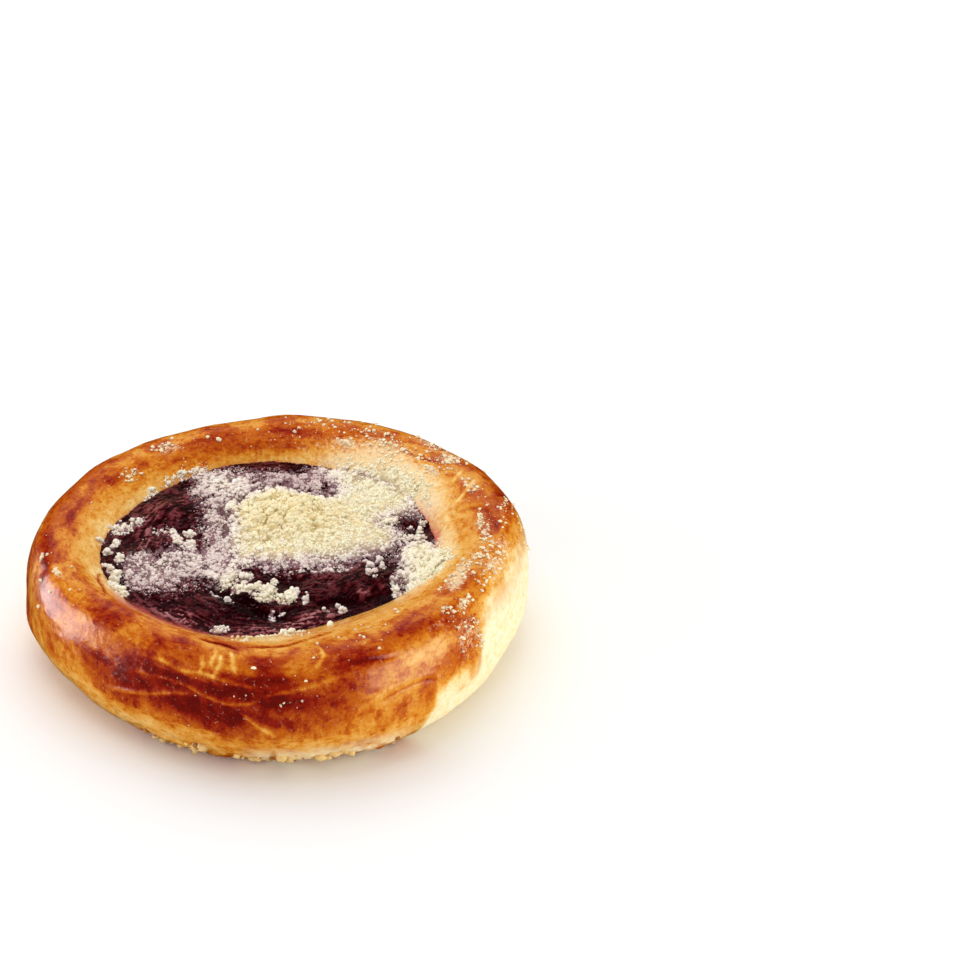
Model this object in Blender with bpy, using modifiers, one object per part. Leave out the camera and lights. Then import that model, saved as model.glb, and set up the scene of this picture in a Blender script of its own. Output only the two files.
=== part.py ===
"""Strawberry crumble pastry, 12 cm across.

A flat round yeast bun, baked with a hollow pressed into its top. Its rim stands up like a rope
round a pool of dark strawberry jam. Butter crumble lies over the jam, thickest right of the
middle, and runs up the rim on the right and at the back. Crumbs of it stick to the glazed crust.

Metres, +Z up. The origin is at the middle of the flat base. Bearings are counted from +X, which
is the pastry's right, towards +Y, which is its back.
"""

import math
import random

import bmesh
import bpy
import numpy as np

# Driving dimensions of the bun, in metres.
WIDE_RADIUS = 0.0583
WIDE_HEIGHT = 0.0119
BASE_RADIUS = 0.0490
CREST_HEIGHT = 0.0302
CREST_INSET = 0.0087
SHOULDER_SQUARENESS = 2.6
SIDE_SQUARENESS = 1.65
JAM_EDGE_RADIUS = 0.0390
JAM_LEVEL = 0.0248
HOLLOW_FLOOR = 0.0140
GAP = 0.0003
SLIVER = 0.00002

# How finely the turned pieces are divided round their axis.
DOUGH_SIDES = 90
JAM_SIDES = 64

# How far the hand-shaped bun strays from round: waves to a turn, cosine part, sine part.
WIDE_WAVES = (
    (2, 0.0005, 0.0000),
    (3, -0.0007, 0.0010),
    (4, 0.0007, 0.0005),
    (6, -0.0001, 0.0002),
)
BASE_WAVES = ((1, 0.0011, 0.0005),)
CREST_WAVES = ((1, 0.0008, 0.0005),)
JAM_EDGE_WAVES = ((1, -0.0033, 0.0012), (2, 0.0004, 0.0003))

# Low swellings along the rim: waves to a turn, turns round the rope, start in radians, height.
RIM_SWELLINGS = (
    (5, 1, 0.4, 0.00040),
    (9, -2, 1.9, 0.00030),
    (13, 2, 4.2, 0.00025),
    (19, -3, 0.8, 0.00016),
)
SWELLING_FADE = 0.0040
ROPE_RADIUS = 0.0475
ROPE_HEIGHT = 0.0145

# The crumble's plan: its middle, and how far it reaches on each bearing, in degrees. It is thin
# at its edge, a layer over most of its plan, and highest on a mound.
CRUMBLE_MIDDLE = (0.006, 0.012)
CRUMBLE_REACH = (
    (-180, 0.018), (-163, 0.041), (-148, 0.043), (-134, 0.034), (-120, 0.030), (-105, 0.034),
    (-92, 0.032), (-82, 0.019), (-60, 0.018), (-42, 0.035), (-25, 0.033), (-6, 0.025),
    (17, 0.032), (45, 0.032), (80, 0.030), (113, 0.028), (140, 0.034), (165, 0.019),
)
CRUMBLE_EDGE = 0.0009
CRUMBLE_LAYER = 0.0012
MOUND_TOP = 0.0030
MOUND_PLACE = (0.011, 0.014)
MOUND_SPREAD = (0.016, 0.012)
ROUGH_HEIGHT = 0.0003
ROUGH_TURNS = 310
CRUMBLE_GAP = 0.0005
SLOPE_EXTRA_GAP = 0.0005
SLOPE_START = 0.0020
CRUMBLE_SPOKES = 54
CRUMBLE_RINGS = 8
CRUMBLE_LUMPS = 80
CRUMBLE_SEED = 26
LUMP_SPREAD = 0.97
LUMP_RADIUS = (0.0010, 0.0012, 0.0015, 0.0019)

# The hollow's side slants, so a gap square to it is this much wider when measured level.
JAM_SIDE_SLANT = 1.35

# Soft folds of the jam's skin, as radians to a metre along x and y. They die away in a level
# margin, a share of the way in from the jam's edge.
JAM_FOLDS = ((420, 90), (150, -380))
FOLD_HEIGHT = 0.0003
LEVEL_MARGIN = 0.16

# Lumps of fruit that lift the jam's skin: x, y, spread and height.
FRUIT_LUMPS = (
    (-0.008, -0.021, 0.0045, 0.0009),
    (0.004, -0.026, 0.0040, 0.0006),
    (0.021, -0.012, 0.0050, 0.0008),
    (-0.024, 0.018, 0.0055, 0.0008),
    (-0.020, -0.020, 0.0050, 0.0006),
)

# Crumbs are a little pressed. Those that stick to the crust lie in groups, given by bearing and
# spread in degrees and their number, between two shares of the shoulder.
PRESSED = (1, 1, 0.88)
RIM_CRUMB_GROUPS = ((62, 24, 15), (18, 20, 13), (-22, 16, 9), (128, 14, 5), (-95, 40, 5))
RIM_CRUMB_RADIUS = (0.0007, 0.0012)
RIM_CRUMB_SHARES = (0.10, 0.62)
RIM_CRUMB_SEED = 7

# Torn bits of crumb along the lower front edge, where the bun was pulled from its tray.
TORN_BEARINGS = (-122, -72)
TORN_COUNT = 9
TORN_RADIUS = (0.0011, 0.0019)
FLAKE_BEARING = -75
FLAKE_SIZE = (0.0042, 0.0014, 0.0011)


def wavy(mean, waves, bearing):
    """A ring's value on each bearing: its mean, plus each wave's cosine and sine part."""
    value = np.full_like(bearing, mean)
    for count, cosine, sine in waves:
        value = value + cosine * np.cos(count * bearing) + sine * np.sin(count * bearing)
    return value


def wide_radius(bearing):
    return wavy(WIDE_RADIUS, WIDE_WAVES, bearing)


def crest_radius(bearing):
    return wide_radius(bearing) - CREST_INSET


def crest_height(bearing):
    return wavy(CREST_HEIGHT, CREST_WAVES, bearing)


def jam_edge_radius(bearing):
    return wavy(JAM_EDGE_RADIUS, JAM_EDGE_WAVES, bearing)


def slope_height(radius, bearing):
    """Height of the hollow's side: a parabola from the crest down through the jam's edge."""
    crest = crest_radius(bearing)
    inward = (crest - radius) / (crest - jam_edge_radius(bearing))
    return crest_height(bearing) - (crest_height(bearing) - JAM_LEVEL) * inward ** 2


def slope_radius(height, bearing):
    """Radius of the hollow's side at a height, from the same parabola."""
    crest = crest_radius(bearing)
    top = crest_height(bearing)
    inward = np.sqrt((top - height) / (top - JAM_LEVEL))
    return crest - inward * (crest - jam_edge_radius(bearing))


def dough_point(stretch, share, bearing):
    """Radius and height of the dough, a share of the way along one stretch of its outline.

    The floor and the slope are the hollow, from its middle up to the crest. The shoulder is a
    squarish quarter oval down to the widest line, the side is a flatter one down to the base's
    edge, and the base runs flat back to the middle. The rim then swells a little along its way.
    """
    wide = wide_radius(bearing)
    crest = crest_radius(bearing)
    base = wavy(BASE_RADIUS, BASE_WAVES, bearing)
    if stretch == "floor":
        return share * slope_radius(HOLLOW_FLOOR, bearing), np.full_like(bearing, HOLLOW_FLOOR)
    if stretch == "slope":
        foot = slope_radius(HOLLOW_FLOOR, bearing)
        radius = foot + share * (crest - foot)
        height = slope_height(radius, bearing)
    elif stretch == "shoulder":
        turn = share * math.pi / 2
        power = 2 / SHOULDER_SQUARENESS
        radius = crest + (wide - crest) * math.sin(turn) ** power
        height = WIDE_HEIGHT + (crest_height(bearing) - WIDE_HEIGHT) * max(math.cos(turn), 0) ** power
    elif stretch == "side":
        turn = share * math.pi / 2
        power = 2 / SIDE_SQUARENESS
        radius = base + (wide - base) * max(math.cos(turn), 0) ** power
        height = np.full_like(bearing, WIDE_HEIGHT * (1 - math.sin(turn) ** power))
    else:
        return base * (1 - share), np.zeros_like(bearing)
    return swollen(radius, height, bearing)


def swollen(radius, height, bearing):
    """Pushes a point of the rim away from the middle of its rope, by the low swellings."""
    turn = np.arctan2(height - ROPE_HEIGHT, radius - ROPE_RADIUS)
    lift = sum(size * np.sin(count * bearing + around * turn + start)
               for count, around, start, size in RIM_SWELLINGS)
    past_slope = np.clip((radius - crest_radius(bearing)) / SWELLING_FADE + 1, 0, 1)
    above_base = np.clip(height / SWELLING_FADE, 0, 1)
    lift = lift * past_slope * above_base
    return radius + lift * np.cos(turn), height + lift * np.sin(turn)


def jam_height(x, y):
    """Height of the jam's skin: level, with soft folds and a few lumps of fruit under it."""
    bearing = np.arctan2(y, x)
    inside = np.clip(1 - np.hypot(x, y) / jam_edge_radius(bearing), 0, 1)
    folds = sum(FOLD_HEIGHT * np.sin(along_x * x + along_y * y) for along_x, along_y in JAM_FOLDS)
    lumps = sum(height * np.exp(-((x - at_x) ** 2 + (y - at_y) ** 2) / spread ** 2)
                for at_x, at_y, spread, height in FRUIT_LUMPS)
    return JAM_LEVEL + (folds + lumps) * np.clip(inside / LEVEL_MARGIN, 0, 1)


def resting_height(x, y):
    """Height of what the crumble lies on: the jam's skin, and past its edge the dough's slope."""
    bearing = np.arctan2(y, x)
    radius = np.hypot(x, y)
    slope = slope_height(radius, bearing)
    return np.where(radius < jam_edge_radius(bearing), jam_height(x, y), slope)


def crumble_reach(bearing):
    """How far the crumble spreads from its middle, eased between the bearings listed above."""
    marks = [(math.radians(degrees), reach) for degrees, reach in CRUMBLE_REACH]
    marks.append((marks[0][0] + 2 * math.pi, marks[0][1]))
    bearing = np.mod(bearing + math.pi, 2 * math.pi) - math.pi
    reach = np.zeros_like(bearing)
    for (start, near), (end, far) in zip(marks, marks[1:]):
        share = np.clip((bearing - start) / (end - start), 0, 1)
        eased = share * share * (3 - 2 * share)
        reach = np.where((bearing >= start) & (bearing <= end), near + (far - near) * eased, reach)
    return reach


def crumble_thickness(x, y, share):
    """Thickness of the crumble: thin at its edge, with a mound right of the pastry's middle."""
    across = (x - MOUND_PLACE[0]) / MOUND_SPREAD[0]
    along = (y - MOUND_PLACE[1]) / MOUND_SPREAD[1]
    mound = MOUND_TOP * np.exp(-(across ** 2 + along ** 2))
    rough = ROUGH_HEIGHT * np.sin(ROUGH_TURNS * (3 * x + y)) * np.sin(ROUGH_TURNS * (3 * y - x))
    return CRUMBLE_EDGE + (CRUMBLE_LAYER + mound + rough) * (1 - share ** 4)


def material(name, colour, roughness, coat):
    """A plain finish: its colour, how rough it is, and how much glaze lies over it."""
    finish = bpy.data.materials.new(name)
    finish.use_nodes = True
    shader = finish.node_tree.nodes["Principled BSDF"]
    shader.inputs["Base Color"].default_value = (*colour, 1)
    shader.inputs["Roughness"].default_value = roughness
    shader.inputs["Metallic"].default_value = 0
    shader.inputs["Coat Weight"].default_value = coat
    return finish


def new_object(name, mesh, collection):
    piece = bpy.data.objects.new(name, mesh)
    collection.objects.link(piece)
    return piece


def applied(piece):
    """Gives a piece the mesh that its modifiers make, and takes the modifiers off."""
    depsgraph = bpy.context.evaluated_depsgraph_get()
    mesh = bpy.data.meshes.new_from_object(piece.evaluated_get(depsgraph))
    plain = piece.data
    piece.modifiers.clear()
    piece.data = mesh
    bpy.data.meshes.remove(plain)
    mesh.name = piece.name


def turned(name, places, shape, sides, collection):
    """Turns an outline round the upright axis, then moves each point to its bearing's own shape.

    places are the outline's (stretch, share) pairs from the middle of its top, over its outer
    side and down to the middle of its base. shape gives the radius and height at a place.
    """
    bearing = np.zeros(1)
    outline = [shape(stretch, share, bearing) for stretch, share in places]
    rows = np.array([(radius[0], height[0]) for radius, height in outline])
    mesh = bpy.data.meshes.new(name)
    points = [(radius, 0, height) for radius, height in rows]
    edges = [(index, index + 1) for index in range(len(points) - 1)]
    mesh.from_pydata(points, edges, [])
    piece = new_object(name, mesh, collection)
    screw = piece.modifiers.new("turn", "SCREW")
    screw.steps = sides
    screw.render_steps = sides
    screw.use_merge_vertices = True
    screw.merge_threshold = 0.00001
    applied(piece)

    mesh = piece.data
    flat = np.empty(len(mesh.vertices) * 3)
    mesh.vertices.foreach_get("co", flat)
    at = flat.reshape(-1, 3)
    radius = np.hypot(at[:, 0], at[:, 1])
    bearing = np.arctan2(at[:, 1], at[:, 0])
    away = np.abs(radius[:, None] - rows[:, 0]) + np.abs(at[:, 2, None] - rows[:, 1])
    nearest = away.argmin(axis=1)
    for index, (stretch, share) in enumerate(places):
        here = nearest == index
        new_radius, new_height = shape(stretch, share, bearing[here])
        at[here, 0] = new_radius * np.cos(bearing[here])
        at[here, 1] = new_radius * np.sin(bearing[here])
        at[here, 2] = new_height
    mesh.vertices.foreach_set("co", at.ravel())
    mesh.update()
    return piece


def lump(radius, at, squash, generator, collection):
    """One crumb: a ball of twenty faces, pressed and turned at random."""
    form = bmesh.new()
    bmesh.ops.create_icosphere(form, subdivisions=1, radius=1)
    stretch = [radius * squash[axis] * generator.uniform(0.85, 1.15) for axis in range(3)]
    turn = generator.uniform(0, 2 * math.pi)
    for vertex in form.verts:
        x, y, z = (vertex.co[axis] * stretch[axis] for axis in range(3))
        vertex.co.x = at[0] + x * math.cos(turn) - y * math.sin(turn)
        vertex.co.y = at[1] + x * math.sin(turn) + y * math.cos(turn)
        vertex.co.z = at[2] + z
    mesh = bpy.data.meshes.new("lump")
    form.to_mesh(mesh)
    form.free()
    return new_object("lump", mesh, collection)


def fuse(piece, lumps):
    """Joins a collection of small pieces to a piece in one union, and clears the collection."""
    union = piece.modifiers.new("fuse", "BOOLEAN")
    union.operation = "UNION"
    union.operand_type = "COLLECTION"
    union.collection = lumps
    union.solver = "MANIFOLD"
    applied(piece)
    weld(piece.data)
    for small in list(lumps.objects):
        mesh = small.data
        bpy.data.objects.remove(small)
        bpy.data.meshes.remove(mesh)


def weld(mesh):
    """Closes up the slivers that a union leaves where two pieces only just cross."""
    form = bmesh.new()
    form.from_mesh(mesh)
    bmesh.ops.triangulate(form, faces=form.faces)
    bmesh.ops.dissolve_degenerate(form, dist=SLIVER, edges=form.edges)
    bmesh.ops.triangulate(form, faces=form.faces)
    form.to_mesh(mesh)
    form.free()


def finish(piece, surface):
    """Gives a piece its material and soft shading."""
    piece.data.materials.clear()
    piece.data.materials.append(surface)
    piece.data.polygons.foreach_set("material_index", [0] * len(piece.data.polygons))
    piece.data.shade_smooth()


def shares(count, start=0.0):
    """Evenly spread shares of a stretch, from just past its start to its end."""
    return [start + (1 - start) * (step + 1) / count for step in range(count)]


def make_dough(collection, small_pieces):
    """The bun: a turned rim round a hollow, with stuck crumbs and torn bits fused to it."""
    places = [("floor", 0.0), ("floor", 1.0)]
    places += [("slope", share) for share in shares(8)]
    places += [("shoulder", share) for share in shares(9)]
    places += [("side", share) for share in shares(4)]
    places += [("base", 1.0)]
    dough = turned("dough_bun", places, dough_point, DOUGH_SIDES, collection)

    generator = random.Random(RIM_CRUMB_SEED)
    for middle, spread, count in RIM_CRUMB_GROUPS:
        for number in range(count):
            degrees = middle + spread * (2 * (number + generator.uniform(0.1, 0.9)) / count - 1)
            bearing = np.array([math.radians(degrees)])
            share = generator.uniform(*RIM_CRUMB_SHARES)
            radius, height = (float(value[0]) for value in dough_point("shoulder", share, bearing))
            size = generator.uniform(*RIM_CRUMB_RADIUS)
            at = (radius * math.cos(bearing[0]), radius * math.sin(bearing[0]), height + 0.3 * size)
            lump(size, at, PRESSED, generator, small_pieces)

    first, last = TORN_BEARINGS
    for number in range(TORN_COUNT):
        degrees = first + (last - first) * (number + generator.uniform(0.2, 0.8)) / TORN_COUNT
        bearing = math.radians(degrees)
        size = generator.uniform(*TORN_RADIUS)
        radius = float(wavy(BASE_RADIUS, BASE_WAVES, np.array([bearing]))[0]) + 0.7 * size
        at = (radius * math.cos(bearing), radius * math.sin(bearing), 1.3 * size)
        lump(size, at, PRESSED, generator, small_pieces)
    make_flake(small_pieces)
    fuse(dough, small_pieces)
    return dough


def make_flake(collection):
    """The torn flake that points outwards from under the front edge."""
    form = bmesh.new()
    bmesh.ops.create_icosphere(form, subdivisions=1, radius=1)
    bearing = math.radians(FLAKE_BEARING)
    base = float(wavy(BASE_RADIUS, BASE_WAVES, np.array([bearing]))[0])
    for vertex in form.verts:
        out = base + FLAKE_SIZE[0] * (0.75 + vertex.co.x)
        side = FLAKE_SIZE[1] * vertex.co.y
        height = FLAKE_SIZE[2] * (1.1 + vertex.co.z)
        vertex.co.x = out * math.cos(bearing) - side * math.sin(bearing)
        vertex.co.y = out * math.sin(bearing) + side * math.cos(bearing)
        vertex.co.z = height
    mesh = bpy.data.meshes.new("flake")
    form.to_mesh(mesh)
    form.free()
    return new_object("flake", mesh, collection)


def jam_point(stretch, share, bearing):
    """Radius and height of the jam: its skin, its side against the dough, and its flat bottom."""
    low = HOLLOW_FLOOR + GAP
    clear = GAP * JAM_SIDE_SLANT
    if stretch == "skin":
        radius = share * (jam_edge_radius(bearing) - clear)
        height = jam_height(radius * np.cos(bearing), radius * np.sin(bearing))
        return radius, height
    if stretch == "side":
        height = np.full_like(bearing, JAM_LEVEL + share * (low - JAM_LEVEL))
        return slope_radius(height, bearing) - clear, height
    radius = (1 - share) * (slope_radius(np.full_like(bearing, low), bearing) - clear)
    return radius, np.full_like(bearing, low)


def make_jam(collection):
    """The jam: a pool that fills the hollow up to the level that shows."""
    places = [("skin", 0.0)]
    places += [("skin", share) for share in shares(9)]
    places += [("side", share) for share in shares(4)]
    places += [("bottom", 1.0)]
    return turned("jam_filling", places, jam_point, JAM_SIDES, collection)


def make_crumble(collection, small_pieces):
    """The crumble: a layer out to its uneven outline, with its larger lumps fused on.

    It starts as a ball whose rings become the rings of the plan. The upper half is the crumble's
    top, the lower half lies a gap over the jam and the dough's slope, and they meet at the edge.
    """
    form = bmesh.new()
    bmesh.ops.create_uvsphere(form, u_segments=CRUMBLE_SPOKES, v_segments=2 * CRUMBLE_RINGS, radius=1)
    mesh = bpy.data.meshes.new("crumble_topping")
    form.to_mesh(mesh)
    form.free()
    flat = np.empty(len(mesh.vertices) * 3)
    mesh.vertices.foreach_get("co", flat)
    ball = flat.reshape(-1, 3)
    bearing = np.arctan2(ball[:, 1], ball[:, 0])
    share = np.arccos(np.clip(np.abs(ball[:, 2]), 0, 1)) / (math.pi / 2)
    x, y, bottom = crumble_bottom(bearing, share)
    thick = crumble_thickness(x, y, share)
    part_up = np.where(ball[:, 2] > 0.001, 1.0, np.where(ball[:, 2] < -0.001, 0.0, 0.5))
    mesh.vertices.foreach_set("co", np.column_stack((x, y, bottom + thick * part_up)).ravel())
    mesh.update()
    crumble = new_object("crumble_topping", mesh, collection)
    scatter_lumps(small_pieces)
    fuse(crumble, small_pieces)
    return crumble


def up_slope(x, y):
    """How far past the jam's edge a place is: 0 on the jam, 1 well up the dough's slope."""
    past = np.hypot(x, y) - jam_edge_radius(np.arctan2(y, x))
    return np.clip(past / SLOPE_START, 0, 1)


def crumble_bottom(bearing, share):
    """Plan place and lower height of the crumble, a share of the way out to its edge."""
    out = share * crumble_reach(bearing)
    x = CRUMBLE_MIDDLE[0] + out * np.cos(bearing)
    y = CRUMBLE_MIDDLE[1] + out * np.sin(bearing)
    return x, y, resting_height(x, y) + CRUMBLE_GAP + SLOPE_EXTRA_GAP * up_slope(x, y)


def scatter_lumps(collection):
    """Spreads the larger lumps over the crumble, no two closer than their own width.

    Each sinks into the layer as far as it can without reaching under it. Those that lie on the
    dough's slope are small, and sit a little higher.
    """
    generator = random.Random(CRUMBLE_SEED)
    placed = []
    while len(placed) < CRUMBLE_LUMPS:
        bearing = np.array([generator.uniform(-math.pi, math.pi)])
        share = np.array([LUMP_SPREAD * math.sqrt(generator.random())])
        x, y, bottom = (value[0] for value in crumble_bottom(bearing, share))
        slope = up_slope(x, y)
        size = LUMP_RADIUS[0] if slope > 0 else generator.choice(LUMP_RADIUS)
        near = [math.dist((x, y), (other_x, other_y)) < 1.1 * (size + other)
                for other_x, other_y, other in placed]
        if any(near):
            continue
        lowest = bottom + (1.04 + 0.4 * slope) * size
        sunk = bottom + crumble_thickness(x, y, share[0]) - 0.1 * size
        placed.append((x, y, size))
        lump(size, (x, y, max(lowest, sunk)), PRESSED, generator, collection)


def main():
    for old in list(bpy.data.objects):
        bpy.data.objects.remove(old)
    pastry = bpy.data.collections.new("strawberry_crumble_pastry")
    bpy.context.scene.collection.children.link(pastry)
    small_pieces = bpy.data.collections.new("small_pieces")
    bpy.context.scene.collection.children.link(small_pieces)

    dough = make_dough(pastry, small_pieces)
    finish(dough, material("glazed_crust", (0.58, 0.24, 0.055), 0.38, 0.5))
    jam = make_jam(pastry)
    finish(jam, material("strawberry_jam", (0.055, 0.006, 0.012), 0.16, 0.8))
    crumble = make_crumble(pastry, small_pieces)
    finish(crumble, material("butter_crumble", (0.80, 0.70, 0.42), 0.85, 0.0))


main()
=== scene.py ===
import math

import bpy
import numpy as np
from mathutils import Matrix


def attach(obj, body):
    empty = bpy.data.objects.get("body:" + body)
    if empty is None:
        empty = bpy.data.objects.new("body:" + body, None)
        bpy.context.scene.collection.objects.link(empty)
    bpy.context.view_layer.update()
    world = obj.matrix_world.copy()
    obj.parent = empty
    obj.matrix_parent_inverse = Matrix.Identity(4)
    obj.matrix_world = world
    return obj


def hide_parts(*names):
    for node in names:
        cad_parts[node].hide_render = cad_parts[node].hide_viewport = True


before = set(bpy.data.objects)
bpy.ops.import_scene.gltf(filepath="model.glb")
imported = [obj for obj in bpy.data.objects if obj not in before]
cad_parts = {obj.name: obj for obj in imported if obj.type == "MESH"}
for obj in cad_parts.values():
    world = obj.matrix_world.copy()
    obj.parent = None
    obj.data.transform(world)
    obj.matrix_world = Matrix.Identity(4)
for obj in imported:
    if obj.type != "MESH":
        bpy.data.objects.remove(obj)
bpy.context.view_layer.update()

# The bun. A flat round of rich yeast dough, pressed hollow in the middle and brushed with egg
# before baking, so its crust is glossy and mottled brown. It is pale inside the rim beside the
# jam, low down where it sat in the tray, and on the right, where it was torn from its neighbour.
MM = 0.001
WIDE_RADIUS = 0.0583
WIDE_HEIGHT = 0.0119
BASE_RADIUS = 0.0490
CREST_HEIGHT = 0.0302
CREST_INSET = 0.0087
SHOULDER_SQUARENESS = 2.6
SIDE_SQUARENESS = 1.65
JAM_EDGE_RADIUS = 0.0381
JAM_LEVEL = 0.0248
HOLLOW_FLOOR = 0.0140
WIDE_WAVES = ((2, 0.0005, 0.0), (3, -0.0007, 0.0010), (4, 0.0007, 0.0005), (6, -0.0001, 0.0002))
BASE_WAVES = ((1, 0.0011, 0.0005),)
CREST_WAVES = ((1, 0.0008, 0.0005),)
JAM_EDGE_WAVES = (
    (1, -0.0028, 0.0012), (2, 0.0008, 0.0011), (3, 0.0006, -0.0004), (4, 0.0005, -0.0001), (5, -0.0004, 0.0),
)
RIM_SWELLINGS = ((5, 1, 0.4, 0.00020), (9, -2, 1.9, 0.00012), (13, 2, 4.2, 0.00012), (19, -3, 0.8, 0.00010))
SWELLING_FADE = 0.0040
ROPE_RADIUS = 0.0475
ROPE_HEIGHT = 0.0145
BUN_COLUMNS = 640
BUN_ROWS = 138

# Places on the bun are a bearing in degrees, counted from the right towards the back, and a
# number down its outline: 0 at the jam's edge, 1 on the crest, 2 on the widest line, 3 at the
# base's edge. Creases are where the crust folds over on itself beside the jam.
CREASES = (
    ((-112, 0.80), (-108, 0.86), (-104, 0.87), (-101, 0.93), (-98.6, 1.0)),
    ((-98.6, 0.84), (-94, 0.81), (-90, 0.79), (-86, 0.76), (-81, 0.64), (-75, 0.56), (-70, 0.5)),
    ((-166, 0.05), (-163, 0.20), (-158, 0.40), (-152, 0.55), (-147, 0.78)),
)
# Pale ridges where the skin of the dough stretched, each with its height in millimetres.
RIDGES = (
    (0.24, ((-131, 1.80), (-124, 1.70), (-118, 1.66), (-112, 1.65), (-106, 1.71), (-100, 1.76),
            (-95, 1.72), (-90, 1.62), (-84, 1.57), (-77, 1.50), (-70, 1.46))),
    (0.20, ((-135, 1.98), (-128, 1.93), (-120, 1.86), (-113, 1.77), (-108, 1.73))),
    (0.16, ((-99, 1.78), (-96, 1.86), (-93, 1.93), (-89, 2.0))),
    (0.14, ((-128, 1.52), (-119, 1.46), (-112, 1.50), (-106, 1.47), (-99, 1.52), (-92, 1.55))),
    (0.30, ((-78.5, 0.90), (-77.5, 1.02), (-77.6, 1.14), (-79, 1.26), (-81, 1.36))),
    (0.12, ((-108.6, 1.20), (-107.4, 1.30), (-107.0, 1.40), (-107.6, 1.50))),
    (0.16, ((-105.2, 1.02), (-104.6, 1.14), (-105.0, 1.28), (-104.4, 1.36))),
    (0.24, ((-103.4, 1.10), (-102.6, 1.24), (-103.2, 1.40), (-104.0, 1.54))),
    (0.24, ((-101.2, 1.00), (-100.0, 1.14), (-99.2, 1.30), (-98.2, 1.42))),
    (0.16, ((18, 0.42), (19.5, 0.58), (22, 0.76), (24.5, 0.94), (26, 1.06))),
    (0.14, ((27, 0.60), (29, 0.76), (31, 0.98))),
)
# Fine grooves, such as the swirl on the right where two lobes of dough meet. The crust is painted darker
# along them, as painted shade.
GROOVES = (
    (0.22, ((14, 0.33), (13.4, 0.52), (12, 0.74), (8.5, 0.92), (3, 1.02), (-3, 1.06))),
    (0.14, ((-6, 0.60), (-2, 0.50), (3, 0.42), (8, 0.36), (14, 0.33), (17, 0.36))),
    (0.16, ((-74, 1.20), (-70, 1.31), (-66, 1.35), (-62, 1.40), (-58, 1.42))),
    (0.10, ((-66, 1.84), (-60, 1.80), (-54, 1.80), (-49, 1.86))),
    (0.12, ((37, 0.86), (42, 0.74), (48, 0.70), (55, 0.74))),
)
# Browner (above 0) and paler (below 0) patches of crust: bearing, place, half width round the
# bun, half width down it, amount. The bearings are in degrees and the others in hundredths.
BROWN_PATCHES = (
    (-178, 118, 6, 14, 24), (-168, 128, 4.5, 8, 34), (-165, 143, 3.5, 7, 30), (-139, 115, 4, 17, 16),
    (-117, 120, 7, 17, 16), (-93, 122, 5, 15, 14), (-137, 173, 8, 5, 26), (-122, 163, 5, 5, 26),
    (-126, 181, 5, 5, 20), (-112, 159, 7, 4, 18), (-103, 163, 9, 6, 26), (-100, 186, 9, 7, 26),
    (-91, 144, 9, 7, 24), (-88, 170, 8, 10, 28), (-113, 190, 10, 6, 20), (-77, 124, 4, 10, 20),
    (-68, 134, 5, 5, 28), (-57, 108, 5, 10, 16), (-50, 112, 5, 12, 24), (-75, 172, 7, 10, 16),
    (-44, 96, 4, 8, 12), (-53, 208, 4.5, 11, 10), (-42, 130, 7, 10, 8), (-38, 175, 5, 18, 6),
    (13, 122, 9, 13, 18), (20, 72, 4, 14, 14), (25, 162, 8, 16, 16), (1, 108, 4, 4, 14),
    (55, 28, 4.5, 9, 26), (86, 64, 5, 12, 22), (93, 70, 3, 10, 16), (97, 30, 12, 10, 16),
    (112, 74, 9, 16, 12), (126, 42, 2, 8, 14), (138, 62, 4, 12, 14), (143, 36, 4, 12, 12),
    (149, 72, 3.5, 18, 22), (163, 86, 5, 13, 30), (171, 88, 5, 12, 26), (177, 66, 4, 8, 18),
    # The paler patch at bearing -57 lies where the right panel's highlight falls: its paleness is partly a
    # painted highlight.
    (-153, 100, 11, 22, -8), (-62, 122, 26, 24, 12), (-57, 162, 14, 24, -20), (-150, 160, 20, 30, 5),
    (178, 110, 20, 34, -3), (-160, 55, 22, 26, -8), (-134, 225, 26, 30, -12), (112, 8, 26, 16, 6),
    (-104, 114, 12, 20, 6), (100, 36, 22, 24, 10), (46, 25, 26, 34, -16), (-102, 124, 5, 16, -4),
    (-60, 62, 30, 22, -8), (-20, 30, 20, 45, -22), (22, 20, 34, 34, -20), (70, 10, 26, 20, -14),
    (150, 20, 26, 26, -10), (172, 36, 18, 34, -8), (-168, 24, 16, 30, -6), (-152, 16, 9, 20, -20),
    (10, 66, 12, 14, -10), (-170, 180, 14, 20, -6), (-93, 204, 6, 10, -16), (-8, 75, 10, 12, -6),
    (40, 50, 14, 22, -6), (-93, 42, 9, 24, -28), (-95, 105, 45, 30, 5), (4, 124, 12, 26, 8),
)
# Where the crust ends above the torn wall on the right, as bearing and place down the outline.
TORN_BORDER = (
    (-56, 3.2), (-52, 2.40), (-50.2, 2.18), (-49.6, 2.0), (-42, 1.985), (-35.5, 1.965), (-33, 1.90),
    (-31, 1.70), (-28.4, 1.54), (-25, 1.46), (-18, 1.44), (-8, 1.43), (2, 1.46), (12, 1.56), (20, 1.80),
    (25, 2.10), (30, 3.2),
)
TORN_STEP = 0.0002


def ring(mean, waves, bearing):
    """A radius or height on each bearing: its mean, plus each wave's cosine and sine part."""
    value = np.full_like(bearing, mean)
    for count, cosine, sine in waves:
        value = value + cosine * np.cos(count * bearing) + sine * np.sin(count * bearing)
    return value


def wide_radius(bearing):
    """Radius of the widest line on each bearing."""
    return ring(WIDE_RADIUS, WIDE_WAVES, bearing)


def jam_edge(bearing):
    """Radius at which the jam meets the dough on each bearing."""
    return ring(JAM_EDGE_RADIUS, JAM_EDGE_WAVES, bearing)


def slope_height(radius, bearing):
    """The hollow's side: a parabola that falls from the crest through the jam's edge."""
    crest = wide_radius(bearing) - CREST_INSET
    top = ring(CREST_HEIGHT, CREST_WAVES, bearing)
    return top - (top - JAM_LEVEL) * ((crest - radius) / (crest - jam_edge(bearing))) ** 2


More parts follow.
